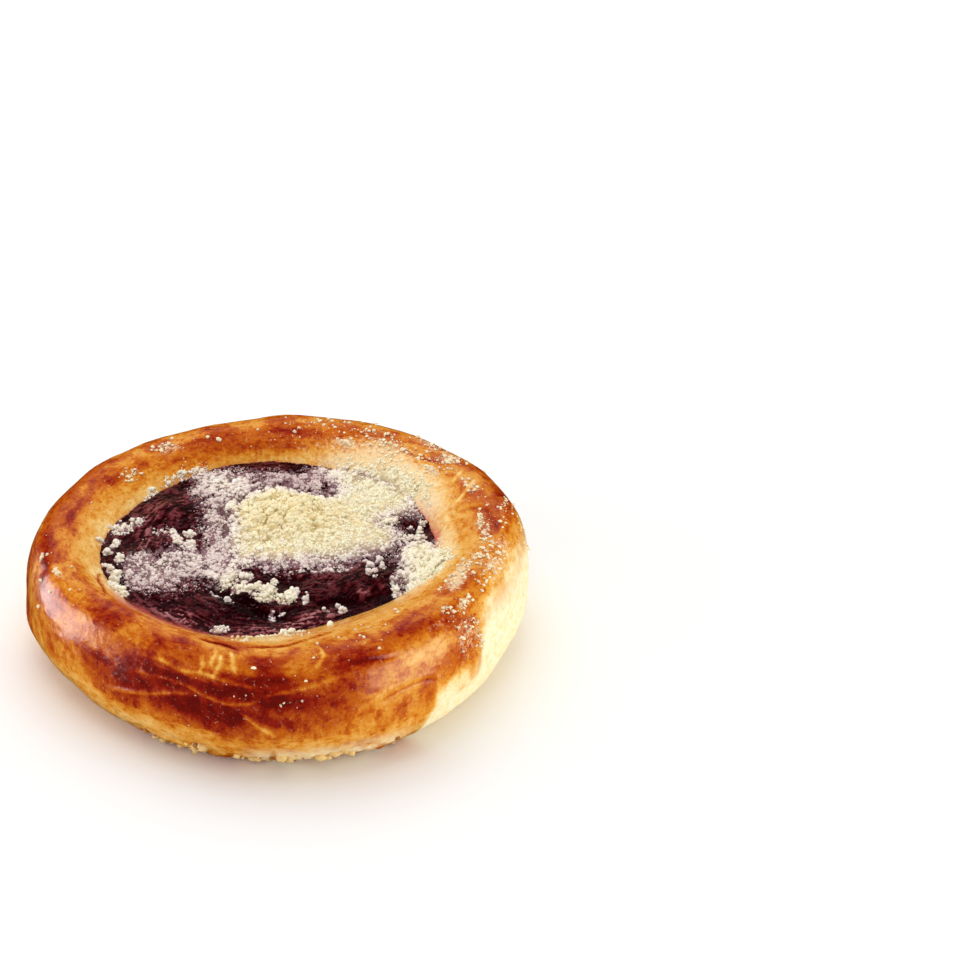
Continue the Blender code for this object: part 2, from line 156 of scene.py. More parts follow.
def quarter_oval(share, squareness):
    """A quarter turn of a squarish oval: sine and cosine, each to two over its squareness."""
    turn, power = np.clip(share, 0, 1) * math.pi / 2, 2 / squareness
    return np.sin(turn) ** power, np.clip(np.cos(turn), 0, 1) ** power


def bun_outline(place, bearing):
    """Radius and height of the bun at a place down its outline.

    From 0 to 1 it climbs the hollow's parabola. From 1 to 2 it is a squarish quarter oval, and
    from 2 to 3 a flatter one. Then low waves round the bun and round its rope swell it a little.
    """
    wide = wide_radius(bearing)
    crest = wide - CREST_INSET
    top = ring(CREST_HEIGHT, CREST_WAVES, bearing)
    base = ring(BASE_RADIUS, BASE_WAVES, bearing)
    slope_radius = crest - (1 - np.minimum(place, 1)) * (crest - jam_edge(bearing))
    out, up = quarter_oval(place - 1, SHOULDER_SQUARENESS)
    down, inward = quarter_oval(place - 2, SIDE_SQUARENESS)
    radius = np.where(place < 1, slope_radius,
                      np.where(place < 2, crest + (wide - crest) * out, base + (wide - base) * inward))
    height = np.where(place < 1, slope_height(slope_radius, bearing),
                      np.where(place < 2, WIDE_HEIGHT + (top - WIDE_HEIGHT) * up, WIDE_HEIGHT * (1 - down)))
    around = np.arctan2(height - ROPE_HEIGHT, radius - ROPE_RADIUS)
    lift = sum(size * np.sin(count * bearing + turns * around + start)
               for count, turns, start, size in RIM_SWELLINGS)
    lift = lift * np.clip((radius - crest) / SWELLING_FADE + 1, 0, 1) * np.clip(height / SWELLING_FADE, 0, 1)
    return radius + lift * np.cos(around), height + lift * np.sin(around)


def at_bearing(radius, bearing, height):
    """Points at a radius from the middle, a bearing and a height."""
    return np.stack(np.broadcast_arrays(radius * np.cos(bearing), radius * np.sin(bearing), height), axis=-1)


def spot(place, bearing):
    """The point of the bun's outline at a place and a bearing."""
    radius, height = bun_outline(place, bearing)
    return at_bearing(radius, bearing, height)


def ease(value, low, high):
    """0 below the low value, 1 above the high one, and an S-shaped rise between them."""
    share = np.clip((value - low) / (high - low), 0, 1)
    return share * share * (3 - 2 * share)


def bell(value, half, power=2):
    """1 where the value is 0, falling off over a half width on both sides."""
    return np.exp(-(value / half) ** power)


def cloud(points, cell, seed):
    """Soft blotches from 0 to 1: random values at the corners of cubes, eased between them.

    The cubes' size is in millimetres.
    """
    table = np.random.default_rng(seed).random((32, 32, 32))
    at = points / (cell * MM)
    low = np.floor(at).astype(int)
    share = ease(at - low, 0, 1)
    value = np.zeros(points.shape[:-1])
    for corner in np.ndindex(2, 2, 2):
        weight = np.prod(np.where(corner, share, 1 - share), axis=-1)
        x, y, z = np.moveaxis((low + corner) % 32, -1, 0)
        value = value + weight * table[x, y, z]
    return value


def clouds(points, cell, seed, layers=3):
    """Blotches of several sizes: each layer is half as large and counts half as much."""
    weights = 0.5 ** np.arange(layers)
    return sum(weight * cloud(points, cell * weight, seed + number)
               for number, weight in enumerate(weights)) / weights.sum()


def smooth_route(marks, steps):
    """A smooth curve through the marks: cubic pieces whose slopes come from the neighbours."""
    marks = np.array(marks, float)
    ends = np.concatenate((2 * marks[:1] - marks[1:2], marks, 2 * marks[-1:] - marks[-2:-1]))
    at = np.linspace(0, len(marks) - 1.000001, steps)
    piece = at.astype(int)
    share = (at - piece)[:, None]
    a, b, c, d = (ends[piece + offset] for offset in range(4))
    return 0.5 * (2 * b + (c - a) * share + (2 * a - 5 * b + 4 * c - d) * share ** 2
                  + (3 * b - a - 3 * c + d) * share ** 3)


def triangles_of_grid(rows, columns, closed):
    """Two triangles for each cell of a grid of points, whose columns may close in a ring."""
    last = columns if closed else columns - 1
    row, column = np.mgrid[0:rows - 1, 0:last]
    right = (column + 1) % columns
    a, b = row * columns + column, row * columns + right
    c, d = (row + 1) * columns + right, (row + 1) * columns + column
    cells = np.stack((a, d, c, a, c, b), axis=-1).reshape(-1, 3)
    corners = np.stack((column, row, column, row + 1, column + 1, row + 1,
                        column, row, column + 1, row + 1, column + 1, row), axis=-1).reshape(-1, 3, 2)
    return cells, corners / (last, rows - 1)


def new_piece(name, points, faces, look, uv, smooth=True, **values):
    """Puts worked-out points and triangles into a mesh that rides on the part.

    look holds the material, the slot and the node that the piece replaces. uv holds each
    corner's place on the piece's own map. The other values are written as attributes: one number
    a point, or one colour a point. Hidden points at the end, left out of them, take the first.
    """
    finish, slot, replaced = look
    mesh = bpy.data.meshes.new(name)
    mesh.vertices.add(len(points))
    mesh.vertices.foreach_set("co", np.ascontiguousarray(points, np.float32).ravel())
    mesh.loops.add(3 * len(faces))
    mesh.loops.foreach_set("vertex_index", np.ascontiguousarray(faces, np.int32).ravel())
    mesh.polygons.add(len(faces))
    mesh.polygons.foreach_set("loop_start", np.arange(0, 3 * len(faces), 3, dtype=np.int32))
    mesh.update(calc_edges=True)
    mesh.uv_layers.new(name="OFBake").data.foreach_set("uv", np.ascontiguousarray(uv, np.float32).ravel())
    for key, value in values.items():
        value = np.concatenate((value, np.repeat(value[:1], len(points) - len(value), axis=0)))
        if value.ndim == 1:
            kind, field = "FLOAT", "value"
        else:
            kind, field = "FLOAT_COLOR", "color"
            value = np.column_stack((value, np.ones(len(value))))
        mesh.attributes.new(key, kind, "POINT").data.foreach_set(field, value.astype(np.float32).ravel())
    if smooth:
        mesh.shade_smooth()
    mesh.materials.append(finish)
    piece = bpy.data.objects.new(name, mesh)
    bpy.context.scene.collection.objects.link(piece)
    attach(piece, "root")
    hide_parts(replaced)
    return piece


def colour(red, green, blue):
    """A colour given as it looks on screen, 0 to 255, turned into the light that it stands for."""
    screen = np.array((red, green, blue)) / 255
    return tuple(np.where(screen <= 0.04045, screen / 12.92, ((screen + 0.055) / 1.055) ** 2.4))


class Finish:
    """A material and the few kinds of node that the pastry's finishes are made of."""

    def __init__(self, name, **settings):
        self.material = bpy.data.materials.new(name)
        self.material.use_nodes = True
        self.tree = self.material.node_tree
        self.shader = self.tree.nodes["Principled BSDF"]
        self.place = self.tree.nodes.new("ShaderNodeTexCoord").outputs["Object"]
        self.into(**settings)

    def fill(self, socket, value):
        """Gives an input a plain value, or links another node's output to it."""
        if isinstance(value, bpy.types.NodeSocket):
            self.tree.links.new(value, socket)
        else:
            socket.default_value = value

    def into(self, **sockets):
        """Fills the shader's inputs, whose names have underscores here for their spaces."""
        for key, value in sockets.items():
            self.fill(self.shader.inputs[key.replace("_", " ")], value)
        return self.material

    def node(self, kind, output, inputs, **settings):
        """Adds a node, sets it up, fills its inputs and gives one of its outputs."""
        made = self.tree.nodes.new("ShaderNode" + kind)
        for key, value in settings.items():
            setattr(made, key, value)
        for key, value in inputs.items():
            self.fill(made.inputs[key], value)
        return made.outputs[output]

    def painted(self, name, output="Fac"):
        """Reads a value that the piece carries at its points."""
        return self.node("Attribute", output, {}, attribute_name=name)

    def grain(self, scale, detail=3.0, where=None, rough=0.55):
        """Blotches that come scale times to a metre, in the piece or in another measure of place."""
        return self.node("TexNoise", "Fac", {
            "Vector": where or self.place, "Scale": scale, "Detail": detail, "Roughness": rough})

    def sum(self, value, other, times, plus=0.0):
        """value + times * other + plus."""
        scaled = self.node("Math", 0, {0: other, 1: times, 2: plus}, operation="MULTIPLY_ADD")
        return self.node("Math", 0, {0: value, 1: scaled}, operation="ADD")

    def scale(self, value, low, high, to_low, to_high):
        """Takes a value from one range to another and holds it there."""
        return self.node("MapRange", "Result", {
            "Value": value, "From Min": low, "From Max": high, "To Min": to_low, "To Max": to_high})

    def ramp(self, value, stops):
        """A colour for each value, eased between the given stops."""
        ramp = self.tree.nodes.new("ShaderNodeValToRGB")
        bands = ramp.color_ramp
        while len(bands.elements) < len(stops):
            bands.elements.new(0.5)
        for element, (position, tone) in zip(bands.elements, stops):
            element.position = position
            element.color = (*colour(*tone), 1)
        self.fill(ramp.inputs["Fac"], value)
        return ramp.outputs["Color"]

    def mix(self, share, first, second):
        """The first colour where the share is 0 and the second where it is 1."""
        second = (*colour(*second), 1) if isinstance(second, tuple) else second
        return self.node("Mix", 2, {0: share, 6: first, 7: second}, data_type="RGBA", clamp_factor=True)

    def bump(self, height, distance, strength=1.0, **under):
        """Relief too fine for the mesh, over another bump if one is given as Normal."""
        return self.node("Bump", "Normal", {
            "Height": height, "Distance": distance, "Strength": strength, **under})


CREASE_PLACE = 0.83
CREASE_BEARING = math.radians(-95)
MEASURED_BEARING = -1.9


def even_places(count):
    """Places down the outline, evenly along its length but closer at the creases by the crest."""
    fine = np.linspace(0, 3, 3000)
    radius, height = bun_outline(fine, np.full_like(fine, MEASURED_BEARING))
    crowd = 1 + 0.9 * bell(fine[1:] - CREASE_PLACE, 0.16) - 0.5 * ease(fine[1:], 2.6, 2.8)
    along = np.concatenate(([0], np.cumsum(np.hypot(np.diff(radius), np.diff(height)) * crowd)))
    return np.interp(np.linspace(0, along[-1], count), along, fine)


def closer_bearings(count):
    """Bearings round the bun, set closer together at the front, where its creases are."""
    fine = np.linspace(-math.pi, math.pi, 4000)
    crowd = 1 + 0.9 * bell(fine - CREASE_BEARING, math.radians(32))
    along = np.concatenate(([0], np.cumsum(crowd[1:] + crowd[:-1])))
    return np.interp(np.arange(count) * along[-1] / count, along, fine)


def line_on_bun(marks, points, normals):
    """How far each point is from a line drawn on the bun, in millimetres, and how strong it is.

    The distance is to the nearest of many points along the line. It is above 0 on the left of
    the line as it runs, seen from outside. The line fades to nothing towards both ends.
    """
    route = smooth_route(marks, 90)
    line = spot(route[:, 1], np.radians(route[:, 0]))
    heading = np.gradient(line, axis=0)
    middle, reach = line.mean(axis=0), np.ptp(line, axis=0).max() / 2 + 6 * MM
    near = np.flatnonzero(np.linalg.norm(points - middle, axis=1) < 1.8 * reach)
    gap = points[near, None] - line[None]
    size = np.linalg.norm(gap, axis=2)
    nearest = size.argmin(axis=1)
    rows = np.arange(len(near))
    across = np.cross(normals[near], heading[nearest])
    left = np.sum(across * gap[rows, nearest], axis=1) >= 0
    away, taper = np.full(len(points), 1000.0), np.zeros(len(points))
    away[near] = size[rows, nearest] / MM * np.where(left, 1, -1)
    taper[near] = np.clip(1.6 * np.sin(math.pi * nearest / (len(line) - 1)), 0, 1)
    return away, taper


bearings = closer_bearings(BUN_COLUMNS)
place, bearing = np.meshgrid(even_places(BUN_ROWS), bearings, indexing="ij")
skin = spot(place, bearing)
outward = np.cross(np.gradient(skin, axis=0), np.roll(skin, -1, axis=1) - np.roll(skin, 1, axis=1))
outward /= np.linalg.norm(outward, axis=2, keepdims=True)
points, normals = skin.reshape(-1, 3), outward.reshape(-1, 3)
flat_place, flat_degrees = place.ravel(), np.degrees(bearing).ravel()

# Places on the skin as if rolled out, for blotches that are drawn out round the rim.
ROLLED_RADIUS, ROLLED_HEIGHT = 0.055 / 1.5, 0.020
along_rim = at_bearing(ROLLED_RADIUS, bearing, ROLLED_HEIGHT * place).reshape(-1, 3)


def facing(middle, low, high):
    """1 on the side of the bun at a bearing, and 0 away from it, by the cosine of the turn."""
    return ease(np.cos(np.radians(flat_degrees - middle)), low, high)


def soft_patches(patches, sharpness=1.3):
    """Soft ovals on the skin, summed up: bearing, place, half widths and amount of each."""
    total = np.zeros_like(flat_place)
    for middle, at, half, tall, amount in patches:
        turn = (flat_degrees - middle + 180) % 360 - 180
        away = (turn / half) ** 2 + ((100 * flat_place - at) / tall) ** 2
        total += amount / 100 * np.exp(-away ** sharpness)
    return total


# How brown the crust is baked, from 0, the pale crumb, to 1, the darkest. It deepens down the
# outline from the jam to the widest line and fades below it.
BROWN_DOWN = (
    (0, 0.34), (0.3, 0.42), (0.6, 0.50), (0.95, 0.565), (1.2, 0.58), (1.5, 0.585), (1.88, 0.58),
    (2.06, 0.49), (2.3, 0.38), (2.6, 0.33), (3, 0.30),
)
# Sides that are browner: amount, bearing, the cosines of the turn at which they start and are
# full, place and half width down the outline.
BROWN_SIDES = ((0.25, -102, 0.76, 0.98, 1.72, 0.32), (0.11, 104, 0.6, 0.95, 0.46, 0.36))
PATCH_STRENGTH = 0.85
brown = np.interp(flat_place, *zip(*BROWN_DOWN)) + PATCH_STRENGTH * soft_patches(BROWN_PATCHES)
for amount, middle, low, high, at, tall in BROWN_SIDES:
    brown += amount * facing(middle, low, high) * bell(flat_place - at, tall, 4)
brown += 0.04 * facing(-140, 0.6, 1.0) * ease(flat_place, 0.5, 1.0)
on_crust = ease(flat_place, 0.55, 1.0) * (1 - ease(flat_place, 2.0, 2.3))
brown += (0.07 + 0.12 * on_crust) * (ease(clouds(along_rim, 6, 11, 4), 0.42, 0.58) - 0.5)

lift = 0.20 * MM * (clouds(points, 2.4, 5, 2) - 0.5)
broken = 0.6 + 0.8 * clouds(points, 2.0, 29, 2)
for marks in CREASES:
    away, taper = line_on_bun(marks, points, normals)
    shaded_groove = taper * bell(away, 0.26)
    lip = np.exp(-np.clip(away, 0, 9) / 2.2) * (away > 0) * (away < 9)
    lift += MM * (0.40 * lip * taper - 0.60 * shaded_groove)
    # The crease's groove is painted darker, as painted shade in the fold.
    brown += 0.42 * shaded_groove - 0.10 * bell(away + 1.4, 1.0)
for height, marks in RIDGES:
    away, taper = line_on_bun(marks, points, normals)
    ridge = taper * broken * bell(away, 0.52)
    lift += 1.3 * MM * height * ridge
    brown -= 0.28 * ridge
for depth, marks in GROOVES:
    away, taper = line_on_bun(marks, points, normals)
    shaded_groove = taper * broken * bell(away, 0.42)
    lift += MM * depth * (taper * bell(away - 1.3, 0.9) - 1.2 * shaded_groove)
    # The groove is painted darker, as painted shade.
    brown += 0.18 * shaded_groove

# The torn wall is bare crumb: pale, matt and a little rough, and the crust ends above it in a
# small step. The dough also tore in ragged bits along the lower front edge.
border = np.interp(flat_degrees, *zip(*TORN_BORDER), left=3.2, right=3.2)
past_border = flat_place - (border + 0.06 * (clouds(points, 3, 31, 2) - 0.5))
torn = ease(past_border, -0.05, 0.24 + 0.16 * facing(0, 0.84, 0.97))
brown -= 0.34 * ease(past_border, -0.30, 0.10)
front_edge = ease(flat_place, 2.15, 2.50) * ease(-np.abs(flat_degrees + 94), -44, -30)
ragged = 0.9 * front_edge * facing(-76, 0.92, 0.97) * ease(clouds(points, 3, 41), 0.30, 0.52)
crumb = np.clip(torn + ragged, 0, 1)
lift -= TORN_STEP * torn * ease(3 - flat_place, 0, 0.3)
lift += 0.35 * MM * crumb * (clouds(points, 1.6, 51) - 0.5)
lift += 1.8 * MM * front_edge * (clouds(points, 4.0, 43) - 0.42)
brown += 0.22 * front_edge * ease(flat_place + 0.5 * clouds(points, 3, 45, 2), 2.75, 3.0)
stretch_marks = 1.4 * cloud(points, 3, 63) * np.sin(flat_degrees * 3.1 + 9 * cloud(points, 5, 61))
stretch_marks *= (facing(100, 0.80, 0.95) * (1 - ease(flat_place, 0.12, 0.45))
                  + 0.5 * facing(-72, 0.93, 0.99) * ease(flat_place, 1.8, 2.05))
lift += 0.11 * MM * stretch_marks
brown += 0.07 * stretch_marks

# Jam that crept up the dough has stained it: in blotches at the front left, in spots on the
# right, and in a thin line all round.
FRONT_STAIN = ((-134, 22, 17, 44, 85),)
RIGHT_STAINS = ((-7, 22, 4, 12, 32), (26, 10, 5, 14, 45), (8, 4, 5, 8, 45))
stain = soft_patches(FRONT_STAIN, 1) * (0.30 + 0.95 * ease(clouds(points, 3.5, 73), 0.36, 0.60))
stain += soft_patches(RIGHT_STAINS, 1) + 0.60 * bell(flat_place + 0.01, 0.03)
stain += 0.42 * bell(flat_degrees - 14, 22, 4) * bell(flat_place - 0.05, 0.12)
stain *= 0.6 + 0.8 * clouds(points, 2, 71, 2)

# Fine sugar and flour merge into pale haze on the crust. Patches are given as above.
SUGAR_HAZE = (
    (48, 26, 28, 34, 100), (-6, 20, 16, 24, 60), (-24, 86, 7, 14, 85), (-29, 98, 4, 8, 70),
    (-15, 122, 4, 16, 60), (-6, 120, 3, 18, 55), (4, 80, 4, 6, 70), (-3, 93, 4, 6, 60),
    (-37, 162, 4, 22, 45), (-33, 125, 3, 8, 60), (126, 78, 4, 20, 55), (37, 60, 3, 8, 70),
    (38, 100, 3, 12, 70), (56, 65, 8, 24, 50), (70, 52, 4, 8, 60), (-163, 116, 4, 5, 50),
    (34, 16, 12, 16, 60), (24, 86, 6, 12, 40), (46, 112, 8, 12, 45), (-20, 22, 16, 20, 50),
    (60, 10, 14, 14, 70), (-44, 130, 6, 10, 25),
)
haze = soft_patches(SUGAR_HAZE)

# The skin is closed with rows that the jam hides, a row inside the base and a fan at each end.
HIDDEN_ROWS = (-0.0085, -0.004675, -0.002125)
LOWEST_SKIN = 0.05 * MM
FAN_ON_MAP = 0.001
skin = skin + (lift[:, None] * normals).reshape(skin.shape)
skin[..., 2] = np.maximum(skin[..., 2], LOWEST_SKIN)
skin[-1, :, 2] = 0
hidden = []
for inset in HIDDEN_ROWS:
    foot = jam_edge(bearings) + inset
    hidden.append(at_bearing(foot, bearings, np.maximum(slope_height(foot, bearings), HOLLOW_FLOOR)))
rows = np.concatenate((np.array(hidden), skin, (skin[-1] * (0.5, 0.5, 1))[None]))
faces, corners = triangles_of_grid(len(rows), BUN_COLUMNS, True)
first_pole = len(rows) * BUN_COLUMNS
bottom = first_pole - BUN_COLUMNS
column = np.arange(BUN_COLUMNS)
after = (column + 1) % BUN_COLUMNS
here, there, zero = column / BUN_COLUMNS, (column + 1) / BUN_COLUMNS, 0 * column
fan_top = np.stack((here, zero, here, zero + FAN_ON_MAP, there, zero + FAN_ON_MAP), axis=-1)
fan_low = np.stack((here, zero + 1, there, zero + 1 - FAN_ON_MAP, here, zero + 1 - FAN_ON_MAP), axis=-1)
faces = np.concatenate((faces, np.column_stack((zero + first_pole, column, after)),
                        np.column_stack((zero + first_pole + 1, bottom + after, bottom + column))))
corners = np.concatenate((corners.reshape(-1, 6), fan_top, fan_low))
bun_points = np.concatenate((rows.reshape(-1, 3), ((0, 0, HOLLOW_FLOOR), (0, 0, 0))))


def for_every_row(value, fill=0.0):
    """Values for the rows that show, after a plain one for the rows that the jam hides."""
    return np.concatenate((np.full(len(hidden) * BUN_COLUMNS, fill), value))


crust = Finish("glazed_crust", Specular_Tint=(1.0, 0.94, 0.88, 1.0), Specular_IOR_Level=0.42)
rolled = crust.painted("rolled", "Vector")
baked = crust.painted("baked")
bare = crust.painted("bare")
mottled = crust.scale(crust.grain(300, 5, rough=0.66), 0.40, 0.60, -0.045, 0.045)
islands = crust.scale(crust.grain(620, 4, where=rolled), 0.50, 0.60, -0.02, 0.09)
freckles = crust.scale(crust.grain(1500), 0.44, 0.66, -0.03, 0.05)
for pattern in (mottled, islands, freckles):
    baked = crust.sum(baked, pattern, 1.0, -0.008)
tone = crust.ramp(baked, (
    (0.00, (255, 242, 200)), (0.14, (250, 214, 142)), (0.28, (238, 178, 88)),
    (0.42, (224, 146, 44)), (0.56, (200, 100, 12)), (0.70, (174, 64, 4)),
    (0.84, (144, 24, 2)), (1.00, (104, 8, 2)),
))
crumb_tone = crust.ramp(crust.grain(700, 4), (
    (0.30, (247, 216, 150)), (0.50, (252, 231, 184)), (0.72, (255, 242, 214)),
))
tone = crust.mix(bare, tone, crumb_tone)
tone = crust.mix(crust.painted("stained"), tone, (206, 96, 84))
powder = crust.sum(crust.painted("haze"), crust.grain(1100, 4, rough=0.7), 2.4, -1.28)
tone = crust.mix(crust.scale(powder, 0.20, 0.75, 0, 0.75), tone, (252, 224, 178))
relief = crust.bump(crust.grain(700, 4), 0.00012)
relief = crust.bump(crust.grain(2600, 2), 0.00003, Normal=relief)
gloss = crust.sum(crust.scale(bare, 0, 1, 0.20, 0.85), crust.grain(900), 0.20, -0.10)
crust_finish = crust.into(Base_Color=tone, Roughness=gloss, Normal=relief)

new_piece("bun", bun_points, faces, (crust_finish, "glazed_crust", "dough_bun"), corners,
          baked=for_every_row(np.clip(brown, 0, 1), 0.35), bare=for_every_row(crumb),
          stained=for_every_row(np.clip(stain, 0, 1)), haze=for_every_row(np.clip(haze, 0, 1)),
          rolled=np.stack([for_every_row(axis) for axis in along_rim.T], axis=-1))

# The jam. Strawberry jam fills the hollow. Baking dried it to a dark glossy skin, wrinkled into
# streaks that circle the middle, with lumps of fruit under it and a sunken fold at the front.

# The solid's own soft folds, as turns of their waves to a metre, and its lumps of fruit: x, y,
# spread and height in metres.
JAM_FOLDS = ((420, 90), (150, -380))
FOLD_HEIGHT = 0.0003
LEVEL_MARGIN = 0.16
FRUIT_LUMPS = (
    (-0.008, -0.021, 0.0045, 0.0009), (0.004, -0.026, 0.0040, 0.0006), (0.021, -0.012, 0.0050, 0.0008),
    (-0.024, 0.018, 0.0055, 0.0008), (-0.020, -0.020, 0.0050, 0.0006),
)
JAM_CELLS = 300
JAM_OVERLAP = 1.6 * MM
FILM_SUNK = 0.35 * MM
# Sunken places in the jam: x, y, half length, half width in millimetres, turn, depth.
JAM_HOLLOWS = (
    (-13, -17, 4.5, 1.8, -52, 0.9), (-7, -24, 5.5, 2.0, -35, 1.1), (0, -28.5, 5, 1.8, -15, 0.8),
    (3, -13, 4, 3, 10, 0.8), (15, -22, 8, 1.6, 4, 0.7), (26, -17, 5, 3.5, 40, 0.9),
    (32, 9, 3.2, 2.6, -40, 0.9), (-36, 3, 4, 2.4, 60, 0.5), (-9, -8, 3, 1.0, 35, 0.6),
)
# Where the jam's skin is painted with a dull lilac sheen, a painted reflection of the light on its wrinkles,
# above 0, and where it is painted darker and nearly black, below 0, partly as painted shade in its sunken
# folds. These ovals are given as above.
JAM_SHEEN = (
    (-27, 19, 15, 7, 52, 0.26), (-34, 8, 8, 4, 75, 0.28), (-5, 36.5, 15, 3, 2, 0.16),
    (-22, -29, 13, 3.0, -36, 0.46), (-1, -33, 14, 3.2, 6, 0.50), (12, -27, 11, 2.4, 24, 0.50),
    (-17, -18, 8, 4, -25, 0.25), (10, -8, 12, 3.6, 0, 0.30), (20.5, -18.7, 2.2, 2.2, 0, 0.55),
    (25, -16.8, 1.6, 2, 0, 0.40), (7, -14, 9, 5, 0, 0.16), (-29, 4, 6, 4, 20, 0.30),
    (-24, -26.5, 8, 1.6, -40, 0.20), (-17, 7, 4, 5, 0, 0.35), (23, -21, 10, 4, 30, -0.24),
    (-12, -20, 9, 2.4, -48, -0.30), (0, -28, 7, 1.6, -14, -0.24), (-8, -23.5, 6, 3, -40, -0.40),
)
# Lumps of fruit that show in the skin: x, y, spread and height in millimetres.
SHOWING_FRUIT = (
    (20, -19, 3.0, 0.9), (25, -15, 2.2, 0.6), (12, -9, 3.4, 0.6), (16, -14, 2.4, 0.5), (3, -31, 2.2, 0.5),
    (-26, 17, 3.5, 0.5), (-21, 12, 2.6, 0.4), (-30, 22, 2.6, 0.4), (9, -28, 3.0, 0.5), (-16, -24, 3.6, 0.5),
)


def disc_of_square(cells):
    """A square grid pressed into a round one: each square ring becomes a ring of the disc."""
    u, v = np.meshgrid(np.linspace(-1, 1, cells), np.linspace(-1, 1, cells))
    wide = np.abs(u) > np.abs(v)
    share = np.where(wide, u, v)
    safe = np.where(share == 0, 1, share)
    turn = np.where(wide, math.pi / 4 * v / safe, math.pi / 2 - math.pi / 4 * u / safe)
    return share * np.cos(turn), share * np.sin(turn)


def jam_height(x, y):
    """The jam's skin as the solid has it: level, with soft folds and a few lumps under it."""
    bearing = np.arctan2(y, x)
    inside = np.clip(1 - np.hypot(x, y) / jam_edge(bearing), 0, 1)
    folds = sum(FOLD_HEIGHT * np.sin(along_x * x + along_y * y) for along_x, along_y in JAM_FOLDS)
    lumps = sum(height * np.exp(-((x - at_x) ** 2 + (y - at_y) ** 2) / spread ** 2)
                for at_x, at_y, spread, height in FRUIT_LUMPS)
    return JAM_LEVEL + (folds + lumps) * np.clip(inside / LEVEL_MARGIN, 0, 1)


def ovals(x, y, marks):
    """Soft turned ovals, one after another: each gives its closeness, 1 in its middle, and amount."""
    for at_x, at_y, half_long, half_wide, turn, amount in marks:
        cos, sin = math.cos(math.radians(turn)), math.sin(math.radians(turn))
        along = ((x / MM - at_x) * cos + (y / MM - at_y) * sin) / half_long
        across = ((y / MM - at_y) * cos - (x / MM - at_x) * sin) / half_wide
        yield np.exp(-(along ** 2 + across ** 2) ** 1.5), amount


def past_jam(x, y):
    """How far each place is outside the jam's edge, and below 0 inside it."""
    return np.hypot(x, y) - jam_edge(np.arctan2(y, x))


def flat_clouds(x, y, cell, seed, layers=2):
    """Blotches as seen from above."""
    return clouds(np.stack((x, y, 0 * x), axis=-1), cell, seed, layers)


def circling_clouds(x, y, drum, cell, seed):
    """Blotches drawn out along circles round the middle: those on a drum of a small radius."""
    return clouds(at_bearing(drum, np.arctan2(y, x), np.hypot(x, y)), cell, seed, 2)


def jam_streaks(x, y):
    """Fine wrinkles, 0 to 1: blotches drawn out along circles round the middle, and round ones."""
    return 0.65 * circling_clouds(x, y, 0.007, 0.60, 81) + 0.35 * flat_clouds(x, y, 0.7, 85)


def jam_skin(x, y):
    """The jam's skin as it shows: the solid's, with hollows, fruit and wrinkles added.

    Past the jam's edge it runs out as a film just under the dough's slope.
    """
    height = jam_height(x, y)
    for closeness, depth in ovals(x, y, JAM_HOLLOWS):
        height = height - MM * depth * closeness
    for at_x, at_y, spread, size in SHOWING_FRUIT:
        away = ((x / MM - at_x) ** 2 + (y / MM - at_y) ** 2) / spread ** 2
        height = height + MM * size * np.exp(-away ** 1.4)
    height = height + MM * (0.60 * (circling_clouds(x, y, 0.008, 2.4, 83) - 0.5)
                            + 0.80 * (jam_streaks(x, y) - 0.5) + 0.36 * (flat_clouds(x, y, 1.1, 91) - 0.5))
    bearing = np.arctan2(y, x)
    film = 0.10 * MM * bell(np.degrees(bearing) + 113, 6, 4) - FILM_SUNK
    up_slope = slope_height(np.hypot(x, y), bearing) + film
    return np.where(past_jam(x, y) > 0, np.maximum(height, up_slope), height)


def closed_below(top, floor):
    """Closes a disc's surface with a wall down to a flat floor, and a fan over that floor.

    Returns all points, all triangles facing outwards, and each corner's place on the map.
    """
    cells = len(top)
    faces, corners = triangles_of_grid(cells, cells, False)
    run = np.arange(cells - 1)
    rim = np.concatenate((run, cells - 1 + run * cells, cells * cells - 1 - run, (cells - 1 - run) * cells))
    points = top.reshape(-1, 3)
    low = points[rim] * (1, 1, 0) + (0, 0, floor)
    low_at = len(points) + np.arange(len(rim))
    low_next, rim_next = np.roll(low_at, -1), np.roll(rim, -1)
    middle_at = np.full_like(rim, len(points) + len(rim))
    wall = np.concatenate([np.column_stack(three) for three in (
        (rim, low_at, low_next), (rim, low_next, rim_next), (low_at, middle_at, low_next))])
    here = np.column_stack((rim % cells, rim // cells)) / (cells - 1)
    there = np.roll(here, -1, axis=0)
    wall_map = np.concatenate([np.stack(three, axis=1) for three in (
        (here, here, there), (here, there, there), (here, here, there))])
    return (np.concatenate((points, low, low.mean(axis=0)[None])), np.concatenate((faces[:, ::-1], wall)),
            np.concatenate((corners[:, ::-1], wall_map)))


disc_x, disc_y = disc_of_square(JAM_CELLS)
turn = np.arctan2(disc_y, disc_x)
reach = jam_edge(turn) + JAM_OVERLAP
jam_x, jam_y = disc_x * reach, disc_y * reach
jam_top = np.stack((jam_x, jam_y, jam_skin(jam_x, jam_y)), axis=-1)

